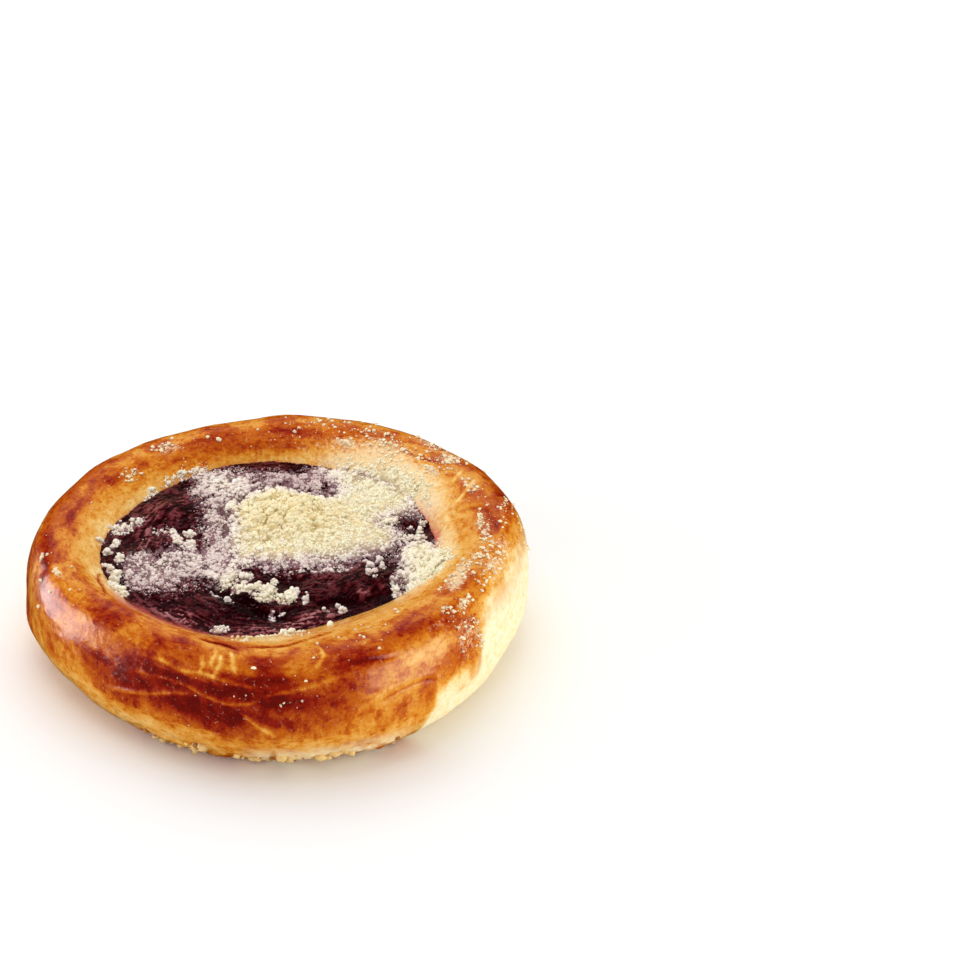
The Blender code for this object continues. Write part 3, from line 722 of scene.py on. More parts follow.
# The crumble. Butter, sugar and flour rubbed into crumbs and strewn by hand: heaped and cream
# yellow right of the middle, thin and stained lilac where it lies on the jam, with bare jam between.
# Its beds: how thick, how soft at the edge in millimetres, how dry, where 1 is cream and 0 soaked
# with jam, and the corners of the outline in millimetres, once round.
CRUMBLE_BEDS = (
    (1.30, 1.9, 1.0, (
        (-12.3, 19.5), (-9.5, 19.5), (-7.5, 22.5), (-3, 24.5), (2, 23.5), (7, 23.5), (10, 20.5),
        (12.5, 22), (14, 26), (12.5, 31), (8.5, 34.5), (9.5, 36.4), (15, 35.6), (20.5, 33), (26, 30.5),
        (30.5, 27.5), (33, 24), (32, 21), (32, 16.5), (27, 15), (24, 13), (25.5, 10.5), (28, 8),
        (28.3, 3.5), (26, 0.5), (21, -1.2), (19, -3.8), (10, -4.6), (2, -5), (-5.5, -4.5), (-9, -6.5),
        (-10.4, -12), (-12.3, -14), (-11.6, -8), (-10.8, -2), (-12, 5), (-12.8, 12))),
    (1.30, 0.7, 1.15, (
        (28.2, -0.2), (30, 1.6), (33, 3.2), (35.5, 3.0), (37.5, -0.5), (38.5, -4.5), (38.5, -9.5),
        (37, -13.5), (34, -16.8), (31.5, -17.5), (31, -13.5), (29.8, -12.5), (30.2, -6), (28.6, -4))),
    (0.88, 1.6, 0.56, (
        (-21.5, 33), (-17, 34.8), (-12, 35.3), (-8.5, 34.5), (-8, 31), (-6, 28.5), (-7.5, 25), (-10, 21.5),
        (-13.5, 21), (-15.5, 23), (-18, 24), (-21, 26), (-19.8, 28.5), (-19.5, 31))),
    (0.66, 1.6, 0.10, (
        (-8, 34), (0, 34.5), (4.5, 34), (6.5, 36.3), (11, 35), (13, 31), (14, 26), (12, 21.5), (9.5, 23),
        (0, 24.5), (-6, 26), (-8, 30))),
    (0.68, 1.8, 0.34, (
        (-36.5, -9), (-34.5, -3), (-32, -1), (-29, -2.5), (-26.5, -0.3), (-24.5, 1), (-21.5, 3.5), (-19, 1.2),
        (-15.5, 3.2), (-11.5, 3), (-10.5, -3), (-12, -8), (-13.2, -13.5), (-16, -13), (-19, -10.5),
        (-21, -12.5), (-24, -13.5), (-26, -15.8), (-30, -15.8), (-34, -15))),
    (0.50, 3.0, 0.95, (
        (10, 34), (8, 36.5), (15, 37.8), (24, 34.2), (32, 29.5), (36, 23), (35, 18), (29, 20), (22, 26),
        (14, 31))),
    (0.52, 2.4, 0.95, ((34, 0), (38, 1), (41, -4), (41, -10), (38, -15), (35, -16), (36, -9))),
    (0.46, 1.6, 0.20, ((-6, -5), (6, -3.5), (18, -3), (21, -1), (24, -1.5), (21, -5), (12, -8),
                       (2, -8.5), (-4, -9))),
    (0.50, 2.2, 0.30, ((-12, 22), (-9, 10), (-10, -4), (-18, -3), (-19, 4), (-17, 12), (-19, 18), (-20, 24))),
    (0.42, 2.5, 0.16, ((-36, -10), (-20, -8), (-15, -14), (-22, -18), (-30, -18.5), (-34, -18.5),
                       (-36, -15))),
    (0.58, 1.5, 0.38, (
        (-19.5, 10), (-18.5, 15.5), (-15.5, 22), (-12, 22), (-11, 10), (-11, 0), (-15, 1), (-18, 4),
        (-16.5, 8))),
)
# Its clumps and single crumbs, by how dry they are: x, y, half length, half width, turn, thickness.
CRUMBLE_CLUMPS = (
    (0.80, (
        (-8, -16.8, 2.8, 2.3, 0, 1.05), (-2, -17, 3.0, 2.0, 90, 1.05), (-4.4, -15.6, 2.2, 1.0, 80, 1.0),
        (-3.4, -21, 3.2, 1.6, -10, 1.05), (1.8, -21, 2.6, 2.3, -20, 1.05), (3.0, -18.6, 1.8, 1.0, 80, 0.9),
        (-11.4, -12.6, 2.8, 1.5, 75, 1.05), (-38.2, -13, 4.4, 1.3, 82, 1.0), (-36.3, -18, 2.4, 1.6, 110, 1.0),
        (-27.3, 29.5, 3.2, 1.1, 50, 0.58), (-31.4, 24.2, 3.0, 0.9, 55, 0.56), (33.6, 12, 1.5, 1.1, 90, 0.95),
        (33.2, 9.2, 1.0, 0.8, 90, 0.9), (2.6, -36.6, 3.6, 0.9, 6, 0.9), (13, -33.5, 1.8, 0.8, 80, 0.85),
        (26, 13.2, 2.4, 1.4, 20, 0.85))),
    (0.62, (
        (-7.6, -12, 2.6, 1.5, 80, 0.95), (-15, -10.6, 2.4, 1.8, -40, 0.95),
        (-24.3, 5, 5.2, 1.1, -72, 0.95), (-21.2, 7.2, 1.6, 1.5, 0, 0.8), (-21, 2.2, 1.8, 1.5, 90, 0.85),
        (-42.3, 3.5, 1.8, 0.9, 85, 0.85), (-38.8, 3, 2.8, 0.9, 75, 0.8), (-37.5, 10, 3.6, 2.4, 45, 0.78),
        (-34, 12.6, 2.6, 2.0, 40, 0.76), (-40.5, -1.2, 1.6, 1.2, 0, 0.75),
        (-37.5, -4, 2.4, 1.2, 70, 0.75), (-40.7, -6.5, 1.1, 1.0, 0, 0.8), (-39.3, -8.8, 1.0, 1.0, 0, 0.8),
        (-23.6, 32.6, 2.6, 1.0, 38, 0.64), (-19.6, 34.8, 2.2, 0.9, 30, 0.62),
        (-1, -13, 1.7, 0.6, 100, 0.85), (31.5, 4.6, 3.2, 1.6, 12, 0.95), (28, -16.6, 2.3, 1.2, 100, 0.95),
        (-12.8, -33.4, 2.0, 1.4, 10, 0.95), (11.6, -25.8, 0.9, 0.7, 0, 0.9),
        (15.6, -25.9, 0.8, 0.8, 0, 0.9))),
    (0.40, (
        (20.8, -4.6, 0.9, 0.8, 90, 0.9), (23.4, -3.6, 1.7, 0.7, 62, 0.9), (21.8, -7.3, 1.2, 1.0, 30, 0.95),
        (24.6, -7, 1.1, 0.8, 90, 0.9), (22.7, -9.8, 1.7, 0.8, 70, 0.95), (21.3, -11.8, 0.9, 0.8, 0, 0.9),
        (23, -12.8, 1.0, 0.7, 90, 0.9), (28.3, -10.5, 1.9, 1.1, 80, 0.8), (26.8, -12.6, 1.4, 0.8, 80, 0.62),
        (14.4, -22.4, 1.1, 0.7, 90, 0.8), (6.8, -21.5, 2.5, 0.8, 85, 0.66), (4.6, -18.6, 1.2, 0.5, 90, 0.75),
        (-1, -27.5, 2.6, 0.8, 90, 0.52), (1.3, -26.5, 0.9, 0.8, 0, 0.65), (-13, -19.5, 4.6, 0.9, -45, 0.50),
        (31, 10.2, 0.9, 0.8, 0, 0.7), (10, -7.2, 12, 2.4, 0, 0.40), (-28, 8, 5, 3, 20, 0.34))),
)
# Gaps where bare jam shows through it: x, y, half length, half width, turn, how bare.
CRUMBLE_GAPS = (
    (-5, 31.5, 1.8, 1.1, 0, 0.55), (0.6, 29.5, 2.4, 1.2, 90, 0.60), (4.2, 27.2, 1.1, 1.0, 0, 0.55),
    (6.8, 26.8, 1.0, 0.8, 90, 0.50), (10.2, 28.0, 2.4, 0.9, 90, 0.90), (10.4, 23.2, 1.0, 0.9, 0, 0.90),
    (-17.2, -6.8, 1.7, 0.8, 110, 0.75), (-15.6, -8.2, 1.3, 0.6, 110, 0.65), (-7.4, -7.6, 3.4, 0.8, 42, 0.95),
    (-3.6, -5.6, 1.8, 0.6, 12, 0.60), (-5.0, -10.6, 2.6, 0.5, 95, 0.9), (-9.2, -11, 2.3, 0.6, 95, 0.7),
    (-13.3, -11.5, 1.3, 0.7, 90, 0.7), (-7.6, 25.2, 0.9, 0.7, 90, 0.6), (-13.8, 15.9, 0.8, 0.6, 0, 0.9),
    (-22, -9.2, 1.3, 0.6, -25, 0.55), (-28.5, -2.6, 1.5, 0.9, 120, 0.6), (-2.2, -19.6, 0.7, 0.6, 0, 0.8),
    (28, 3.5, 1.1, 0.6, 90, 0.8), (-3, 36.6, 10, 1.2, 0, 0.5), (29.6, 8.6, 1.4, 1.0, 0, 0.7),
    (20.5, 30.6, 0.8, 0.6, 0, 0.45), (-19, -13.4, 4.5, 1.6, 15, 0.45),
)
# How deep it is heaped over the jam or the dough: x, y, half length, half width, turn, depth. The
# depth is in millimetres too.
CRUMBLE_HEAPS = (
    (1, 14, 15, 12, 0, 2.1), (10, 2, 20, 6, 2, 1.1), (24, 18, 11, 17, -18, 0.9),
    (22, 32, 14, 9, -28, 0.8), (-3, -17.5, 8, 4, -45, 1.2), (34, -7, 5.5, 11, 6, 1.2),
    (-9, 30, 12, 5, 8, 0.35), (-25, -7, 12, 6, -6, 0.45),
)
# Where it is heaped in coarse lumps, given as the gaps are.
CRUMBLE_LUMPY = (
    (0, 14, 15, 12, 0, 1.0), (-4, -17, 8, 4, -45, 0.7), (34, -7, 6, 11, 6, 0.7), (-25, -7, 14, 8, 0, 0.20),
    (-13, 26, 8, 7, 0, 0.30), (20, 33, 14, 6, -28, 0.15), (-36, 0, 6, 20, 10, 0.3),
)
CORE_CELLS = 305
CORE_MIDDLE = (0.003, 0.008)
CORE_REACH = 0.0405
CORE_SUNK = 1.2 * MM
BUMPS_SUNK = 0.30 * MM
FIELD_STEP = 0.2 * MM
FIELD_REACH = 48 * MM


def highest_of(x, y, marks):
    """The highest of a group of soft ovals at each place."""
    value = np.zeros_like(x)
    for closeness, amount in ovals(x, y, marks):
        value = np.maximum(value, amount * closeness)
    return value


def inside_outline(x, y, marks):
    """How far inside a closed outline each place is, in millimetres, and below 0 outside it.

    The distance is to the nearest side. A place is inside where a line to its right crosses an
    odd number of sides.
    """
    corners = np.array(marks, float)
    nearest = np.full(x.shape, np.inf)
    inside = np.zeros(x.shape, bool)
    for (from_x, from_y), (to_x, to_y) in zip(corners, np.roll(corners, -1, axis=0)):
        along_x, along_y = to_x - from_x, to_y - from_y
        share = ((x - from_x) * along_x + (y - from_y) * along_y) / (along_x ** 2 + along_y ** 2)
        share = np.clip(share, 0, 1)
        nearest = np.minimum(nearest, np.hypot(x - from_x - share * along_x, y - from_y - share * along_y))
        crossing = from_x + (y - from_y) * along_x / (along_y or 1)
        inside ^= ((from_y > y) != (to_y > y)) & (x < crossing)
    return np.where(inside, nearest, -nearest)


def lay_of_crumble(x, y):
    """How thickly the crumble lies, how thickly in beds, how dry it is and how dusty the jam is.

    The beds and clumps less the gaps are made ragged by blotches. A bed is dry only some way in
    from its edge, and dust spreads some way out from it.
    """
    drift_x = (x + 2.0 * MM * (flat_clouds(x, y, 4, 101) - 0.5)) / MM
    drift_y = (y + 2.0 * MM * (flat_clouds(x, y, 4, 103) - 0.5)) / MM
    bed, dust, weight, dry = 0 * x, 0 * x, 0 * x + 1e-6, 0 * x
    for amount, soft, dryness, marks in CRUMBLE_BEDS:
        inward = inside_outline(drift_x, drift_y, marks)
        lies = amount * ease(inward, -soft, soft)
        bed = np.maximum(bed, lies)
        dust = np.maximum(dust, min(amount, 1) * ease(inward, -5.0, 1.0))
        weight = weight + lies ** 2
        dry = dry + dryness * lies ** 2 * (0.50 + 0.50 * ease(inward, -0.5, 5.0))
    thick = bed
    for dryness, marks in CRUMBLE_CLUMPS:
        lies = highest_of(x, y, marks)
        thick = np.maximum(thick, lies)
        weight, dry = weight + lies ** 2, dry + dryness * lies ** 2
    gaps = sum(amount * closeness for closeness, amount in ovals(x, y, CRUMBLE_GAPS))
    thick, bed = thick - gaps, bed - gaps
    ragged = 0.50 * (flat_clouds(x, y, 1.7, 107) - 0.5) + 0.95 * (flat_clouds(x, y, 0.8, 109) - 0.5)
    thick, bed = (lies + ragged * np.clip(3 * lies, 0, 1) for lies in (thick, bed))
    return thick, bed, dry / weight, dust


field_line = np.arange(-FIELD_REACH, FIELD_REACH + FIELD_STEP / 2, FIELD_STEP)
field_x, field_y = np.meshgrid(field_line, field_line)


def reader(table):
    """Makes a function that reads a table on the field, by blending the four nearest values."""
    def read(x, y):
        at_x = np.clip((x + FIELD_REACH) / FIELD_STEP, 0, len(field_line) - 1.001)
        at_y = np.clip((y + FIELD_REACH) / FIELD_STEP, 0, len(field_line) - 1.001)
        low_x, low_y = at_x.astype(int), at_y.astype(int)
        share_x, share_y = at_x - low_x, at_y - low_y
        near = table[low_y, low_x] * (1 - share_x) + table[low_y, low_x + 1] * share_x
        far = table[low_y + 1, low_x] * (1 - share_x) + table[low_y + 1, low_x + 1] * share_x
        return near * (1 - share_y) + far * share_y
    return read


cover, bed_cover, dryness_at, dusting = (reader(table) for table in lay_of_crumble(field_x, field_y))


def pebbles(x, y, cell, seed):
    """Rounded bumps, one in each square cell: the height of the highest ball at each place.

    The cells' size is in millimetres.
    """
    shift = np.random.default_rng(seed).random((64, 64, 3))
    at_x, at_y = x / (cell * MM), y / (cell * MM)
    height = np.zeros_like(x)
    for step_x, step_y in np.ndindex(3, 3):
        cell_x, cell_y = np.floor(at_x).astype(int) + step_x - 1, np.floor(at_y).astype(int) + step_y - 1
        shift_x, shift_y, size = np.moveaxis(shift[cell_x % 64, cell_y % 64], -1, 0)
        away = (cell_x + shift_x - at_x) ** 2 + (cell_y + shift_y - at_y) ** 2
        height = np.maximum(height, np.sqrt(np.clip((0.45 + 0.35 * size) ** 2 - away, 0, 1)))
    return height * cell * MM


def rest_height(x, y):
    """What the crumble lies on: the jam's skin, and past its edge the dough's slope."""
    slope = slope_height(np.hypot(x, y), np.arctan2(y, x))
    return np.where(past_jam(x, y) < 0, jam_skin(x, y), slope)


def lumps_of_crumble(x, y):
    """Rounded bumps in the crumble's body, coarse where it is heaped and fine elsewhere."""
    coarse = highest_of(x, y, CRUMBLE_LUMPY)
    heaped = highest_of(x, y, CRUMBLE_LUMPY[:1])
    return (0.24 * pebbles(x, y, 0.8, 113) + 0.95 * heaped * pebbles(x, y, 3.0, 127)
            + coarse * (0.50 * pebbles(x, y, 1.9, 131) + 0.26 * pebbles(x, y, 1.1, 137)))


def core_height(x, y):
    """The crumble's own body: heaped where it is thick, and sunk out of sight where it is thin."""
    heap = np.zeros_like(x)
    for closeness, depth in ovals(x, y, CRUMBLE_HEAPS):
        heap = np.maximum(heap, MM * depth * closeness) + 0.3 * np.minimum(heap, MM * depth * closeness)
    bumps = lumps_of_crumble(x, y) - BUMPS_SUNK
    thick = np.maximum(bed_cover(x, y), 0.60 * cover(x, y))
    return rest_height(x, y) - CORE_SUNK + (heap + bumps + CORE_SUNK) * ease(thick, 0.52, 0.86)


# The jam's colours: light streaks on its wrinkles, a painted sheen that stands for light mirrored by its
# skin, painted shade where it is sunk, frost where fine sugar and flour of the crumble lie on it, and a thin
# red film at its front left edge.
flat_x, flat_y = jam_x.ravel(), jam_y.ravel()
dusted = 0.85 * dusting(flat_x, flat_y) + 1.8 * (flat_clouds(flat_x, flat_y, 0.9, 145, 3) - 0.5) - 0.22
frosted = np.clip(np.maximum(ease(cover(flat_x, flat_y), 0.10, 0.75), dusted), 0, 1)
# Sunken places are painted darker: painted shade.
sunk = np.clip((JAM_LEVEL + 0.1 * MM - jam_top[..., 2].ravel()) / (0.9 * MM), 0, 1)
sheen = 0.26 + sum(amount * closeness for closeness, amount in ovals(flat_x, flat_y, JAM_SHEEN))
streaks = ease(jam_streaks(flat_x, flat_y), 0.42, 0.62) * np.clip(sheen, 0, 1.2) * (1 - 0.8 * sunk)
streaks = np.clip(streaks + 0.12 * sheen, 0, 1)
thin_edge = bell(past_jam(flat_x, flat_y), 1.0 * MM) * bell(np.degrees(turn.ravel()) + 122, 22, 4)

jam = Finish("strawberry_jam", Specular_Tint=(1.0, 0.74, 0.80, 1.0))
# The painted sheen with fine grain: its light end is painted reflection, and it also sets how glossy the skin
# is.
streak = jam.sum(jam.painted("streaks"), jam.grain(1700), 0.5, -0.25)
tone = jam.ramp(streak, (
    (0.00, (20, 0, 2)), (0.24, (60, 5, 10)), (0.55, (112, 44, 49)), (1.00, (190, 128, 128)),
))
tone = jam.mix(jam.painted("thin"), tone, (204, 88, 78))
frost = jam.scale(jam.sum(jam.painted("frost"), jam.grain(1700), 0.8, -0.44), 0.15, 0.9, 0, 0.85)
jam_finish = jam.into(
    Base_Color=jam.mix(frost, tone, (160, 122, 130)), Normal=jam.bump(jam.grain(1100), 0.00022),
    Specular_IOR_Level=jam.scale(streak, 0, 0.8, 0.10, 0.45), Roughness=jam.scale(frost, 0, 0.8, 0.20, 0.8))
new_jam, jam_faces, jam_map = closed_below(jam_top, HOLLOW_FLOOR + 0.3 * MM)
new_piece("jam", new_jam, jam_faces, (jam_finish, "strawberry_jam", "jam_filling"), jam_map,
          streaks=streaks, frost=frosted, thin=thin_edge)

# The crumble's own body, which shows as sandy ground between its loose crumbs.
CORE_TONES = ((88, 44, 56), (156, 120, 126), (251, 232, 186))
BUTTER_TONE = (253, 231, 170)


def crumble_tones(x, y, shade, tones):
    """Colours of crumble by how dry it is, from soaked through damp to dry, times one plus a shade: random
    tone for crumbs, and for the body random tone and painted shade in its hollows.
    """
    dry = dryness_at(x, y) + 0.30 * (flat_clouds(x, y, 1.4, 163) - 0.5)
    on_dough = ease(past_jam(x, y), -0.5 * MM, 1.5 * MM)
    dry = np.maximum(np.clip(dry, 0, 1), on_dough)[:, None]
    yellow = np.exp(-(((x / MM - 2) / 14) ** 2 + ((y / MM - 13) / 11) ** 2) ** 2)[:, None]
    soaked, damp, cream, butter = (np.array(colour(*tone)) for tone in (*tones, BUTTER_TONE))
    tone = soaked + (damp - soaked) * np.clip(2 * dry, 0, 1)
    tone = tone + (cream - tone) * np.clip(2 * dry - 1, 0, 1)
    tone = tone + 0.5 * (butter - tone) * yellow * np.clip(2 * dry - 1, 0, 1)
    return np.clip(tone * (1 + shade[:, None]), 0, 1)


core_x, core_y = (middle + CORE_REACH * side for middle, side in zip(CORE_MIDDLE, disc_of_square(CORE_CELLS)))
core_top = np.stack((core_x, core_y, core_height(core_x, core_y)), axis=-1)
new_core, core_faces, core_map = closed_below(core_top, HOLLOW_FLOOR + 4 * MM)
flat_x, flat_y = core_x.ravel(), core_y.ravel()
lumpy = highest_of(flat_x, flat_y, CRUMBLE_LUMPY)
# Painted shade: the crumble's body is painted darker in the hollows between its lumps.
hollow = 1 - np.clip(lumps_of_crumble(flat_x, flat_y) / ((0.14 + 2.2 * lumpy) * MM), 0, 1)
core_shade = 0.16 * (flat_clouds(flat_x, flat_y, 1.4, 151, 3) - 0.5) - 0.32 * hollow

crumble = Finish("butter_crumble", Roughness=0.75, Specular_IOR_Level=0.3)
pits = crumble.node("TexVoronoi", "Distance", {"Vector": crumble.place, "Scale": 2600})
speckle = crumble.scale(crumble.grain(2400), 0.3, 0.75, 0, 0.18)
crumble_finish = crumble.into(
    Base_Color=crumble.mix(speckle, crumble.painted("tone", "Color"), (240, 218, 166)),
    Normal=crumble.bump(pits, 0.00012, 0.6))
IN_CRUMBLE = (crumble_finish, "butter_crumble", "crumble_topping")
new_piece("crumble_bed", new_core, core_faces, IN_CRUMBLE, core_map,
          tone=crumble_tones(flat_x, flat_y, core_shade, CORE_TONES))

# Loose crumbs of the crumble, each a rough little ball of butter and flour, from dust up to lumps
# of 1.4 mm. They lie on the crumble's own body, on the jam and up the dough. Each kind has its
# form: points and triangles of a diamond, of a ball, or of a finer ball.
GOLDEN = (1 + math.sqrt(5)) / 2
ball_points = np.array([np.roll((0, a, b * GOLDEN), turns)
                        for turns in (0, 2, 1) for a in (-1, 1) for b in (-1, 1)], float)
ball_points /= np.linalg.norm(ball_points[0])
diamond_points = np.array(((1, 0, 0), (-1, 0, 0), (0, 1, 0), (0, -1, 0), (0, 0, 1), (0, 0, -1)), float)


def ball_of(points):
    """A ball of evenly spread points and its triangles: each three that are all near neighbours."""
    gaps = np.linalg.norm(points[:, None] - points[None], axis=2)
    near = (gaps > 0) & (gaps < 1.2 * gaps[gaps > 0].min())
    found = []
    for a, b, c in np.ndindex(len(points), len(points), len(points)):
        if a < b < c and near[a, b] and near[b, c] and near[a, c]:
            outward = np.cross(points[b] - points[a], points[c] - points[a]) @ points[a] > 0
            found.append((a, b, c) if outward else (a, c, b))
    return points, np.array(found)


def finer_ball(points, faces):
    """Splits each triangle in four and pushes the new points out to the ball."""
    pairs = np.sort(np.concatenate((faces[:, [0, 1]], faces[:, [1, 2]], faces[:, [2, 0]])), axis=1)
    edges, which = np.unique(pairs, axis=0, return_inverse=True)
    middle = points[edges].sum(axis=1)
    middle /= np.linalg.norm(middle, axis=1, keepdims=True)
    ab, bc, ca = which.reshape(3, -1) + len(points)
    a, b, c = faces.T
    fours = (a, ab, ca), (b, bc, ab), (c, ca, bc), (ab, bc, ca)
    return np.concatenate((points, middle)), np.concatenate([np.stack(three, 1) for three in fours])


DIAMOND, BALL = ball_of(diamond_points), ball_of(ball_points)
FINE_BALL = finer_ball(*BALL)


def crumb_sizes(chance, smallest, largest, count):
    """Random radii in metres from a range in millimetres, most of them small."""
    return MM * chance.uniform(smallest ** 0.5, largest ** 0.5, count) ** 2


def strew(name, form, at, size, tones, chance, look, uneven, press=0.85):
    """Joins many crumbs into one piece: the form turned, stretched and dented anew for each.

    Each crumb's points are the form's, each pushed in or out at random, stretched along three
    axes, turned by a random rotation, pressed a little flat, sized and moved to its place.
    """
    ball, faces = form
    count = len(at)
    dents = 1 + uneven * (2 * chance.random((count, len(ball), 1)) - 1)
    stretch = 1 + 0.5 * uneven * (2 * chance.random((count, 1, 3)) - 1)
    body = ball[None] * dents * stretch
    turns, _ = np.linalg.qr(chance.normal(size=(count, 3, 3)))
    turns[:, :, 0] *= np.sign(np.linalg.det(turns))[:, None]
    body = np.einsum("nij,nkj->nki", turns, body) * (1, 1, press)
    points = (body * size[:, None, None] + at[:, None]).reshape(-1, 3)
    all_faces = (faces[None] + len(ball) * np.arange(count)[:, None, None]).reshape(-1, 3)
    across = math.ceil(math.sqrt(count))
    cell = np.stack((np.arange(count) % across, np.arange(count) // across), axis=1)
    uv = (cell[:, None, None] + 0.5 + 0.3 * ball[faces][..., :2]) / across
    tones = np.repeat(np.clip(tones, 0, 1), len(ball), axis=0)
    new_piece(name, points, all_faces, look, uv, False, tone=tones)


top_height = reader(np.maximum(rest_height(field_x, field_y), core_height(field_x, field_y)))
STREWN_X, STREWN_Y = (-0.046, 0.046), (-0.038, 0.046)
STREWN_AT_ONCE = 60000
STREWN_UP_DOUGH = 8 * MM


def scatter(chance, wanted, thin, full, clumping, within=(), dusty=0.0, bare_mound=0.0):
    """Random places, kept more often where the crumble lies thick, and in clumps of a few.

    Places are kept from a thin cover up to a full one. Dusty counts the dust round the beds as
    cover too, bare_mound leaves a share of the mound free, and within keeps to given ovals.
    """
    found = np.zeros((0, 2))
    while len(found) < wanted:
        x = chance.uniform(*STREWN_X, STREWN_AT_ONCE)
        y = chance.uniform(*STREWN_Y, STREWN_AT_ONCE)
        keep = ease(np.maximum(cover(x, y), dusty * dusting(x, y)), thin, full)
        keep = keep * (1 - clumping + 2 * clumping * ease(flat_clouds(x, y, 1.6, 161), 0.42, 0.62))
        keep = keep * (past_jam(x, y) < STREWN_UP_DOUGH)
        keep = keep * (1 - bare_mound * highest_of(x, y, CRUMBLE_LUMPY[:1]))
        if within:
            keep = keep * highest_of(x, y, within)
        found = np.concatenate((found, np.stack((x, y), 1)[chance.random(len(x)) < keep]))
    return found[:wanted]


def strew_crumble(name, form, wanted, sizes, seed, sink, tones, pile=0.0, **where):
    """Strews one size of crumb over the crumble, sunk a share of its size into what it lies on.

    Pile is how high single crumbs may lie on others in a clump, in millimetres.
    """
    chance = np.random.default_rng(seed)
    x, y = scatter(chance, wanted, **where).T
    size = crumb_sizes(chance, *sizes, wanted)
    z = top_height(x, y) + (1 - 2 * sink) * size * 0.8
    clumped = ease(cover(x, y) - np.maximum(bed_cover(x, y), 0), 0.15, 0.5)
    z = z + pile * MM * chance.random(wanted) * clumped
    tones = crumble_tones(x, y, 0.05 * chance.normal(size=wanted), tones)
    strew(name, form, np.stack((x, y, z), 1), size, tones, chance, IN_CRUMBLE, uneven=0.38)


DUST_TONES = ((176, 138, 144), (239, 219, 214), (255, 242, 209))
GRAIN_TONES = ((214, 188, 190), (252, 240, 232), (255, 245, 215))
strew_crumble("crumble_dust", DIAMOND, 24800, (0.12, 0.26), 171, 0.4, DUST_TONES,
              thin=0.10, full=0.80, clumping=0.7, dusty=0.62, bare_mound=0.7)
strew_crumble("crumble_grains", BALL, 9900, (0.18, 0.44), 173, 0.35, GRAIN_TONES,
              thin=0.18, full=0.85, clumping=0.8, dusty=0.40, bare_mound=0.4)
strew_crumble("crumble_lumps", FINE_BALL, 2450, (0.30, 0.72), 179, 0.4, GRAIN_TONES, pile=0.7,
              thin=0.48, full=0.95, clumping=0.6,
              within=CRUMBLE_LUMPY + sum((marks for _, marks in CRUMBLE_CLUMPS), ()))

# Grains of coarse sugar, white and clear. Two large ones lie on the front of the heap.
# Each grain: x, y and radius in millimetres.
SUGAR_GRAINS = (
    (-4.2, -0.1, 0.75), (-3.2, 0.3, 0.55), (0.8, 1.8, 0.60), (1.4, 1.0, 0.40), (9.2, -3.2, 0.35),
    (17, -2.6, 0.40), (-9.5, 13, 0.35), (21, -1.8, 0.35), (-20, -3, 0.40), (-33, -6, 0.35),
    (14, 21, 0.35),
)
sugar_x, sugar_y, sugar_size = MM * np.array(SUGAR_GRAINS).T
sugar_at = np.stack((sugar_x, sugar_y, top_height(sugar_x, sugar_y) + 0.6 * sugar_size), axis=1)
strew("sugar_grains", BALL, sugar_at, sugar_size, np.tile(colour(255, 250, 236), (len(sugar_at), 1)),
      np.random.default_rng(211), IN_CRUMBLE, uneven=0.2)

# Crumbs and sugar stuck to the glaze of the rim. They fell there as the crumble was strewn, most
# at the right and the back, in little drifts, with a few single ones at the front and left.
# Each drift: bearing, place down the outline, half widths, number of crumbs.
RIM_DRIFTS = (
    (127, 0.85, 3.5, 0.16, 34), (143, 0.58, 3.0, 0.12, 26), (-164, 1.16, 2.6, 0.04, 26),
    (-173, 1.30, 1.4, 0.04, 12), (70, 0.52, 2.4, 0.06, 32), (56, 0.68, 8, 0.22, 90),
    (40, 0.80, 8, 0.22, 56), (37, 0.60, 2.2, 0.05, 30), (37, 1.02, 2.4, 0.10, 32),
    (46, 1.12, 5, 0.10, 28), (66, 0.95, 10, 0.16, 40), (84, 0.90, 6, 0.2, 16), (5, 0.80, 4, 0.07, 30),
    (-4, 0.95, 4, 0.06, 24), (-22, 0.90, 9, 0.17, 72), (-12, 1.02, 6, 0.10, 40),
    (-34, 1.26, 2.6, 0.06, 28), (-39, 1.20, 2.4, 0.10, 16), (-33, 1.70, 1.6, 0.16, 36),
    (-37, 1.55, 3.5, 0.18, 32), (-14, 1.26, 9, 0.14, 66), (6, 1.10, 10, 0.22, 32),
    (22, 0.85, 5, 0.12, 28), (100, 0.6, 30, 0.3, 18), (-66, 1.06, 10, 0.20, 8),
    (-100, 1.60, 22, 0.30, 12), (-86, 1.72, 4, 0.06, 4), (-160, 1.30, 20, 0.35, 10),
    (160, 0.8, 20, 0.3, 6), (-79, 1.16, 1.0, 0.06, 3), (-62, 0.7, 16, 0.25, 10), (30, 1.5, 60, 0.25, 40),
    (-92, 0.12, 9, 0.05, 70), (-99, 0.55, 2.5, 0.12, 16), (-83, 0.34, 4, 0.06, 18),
)


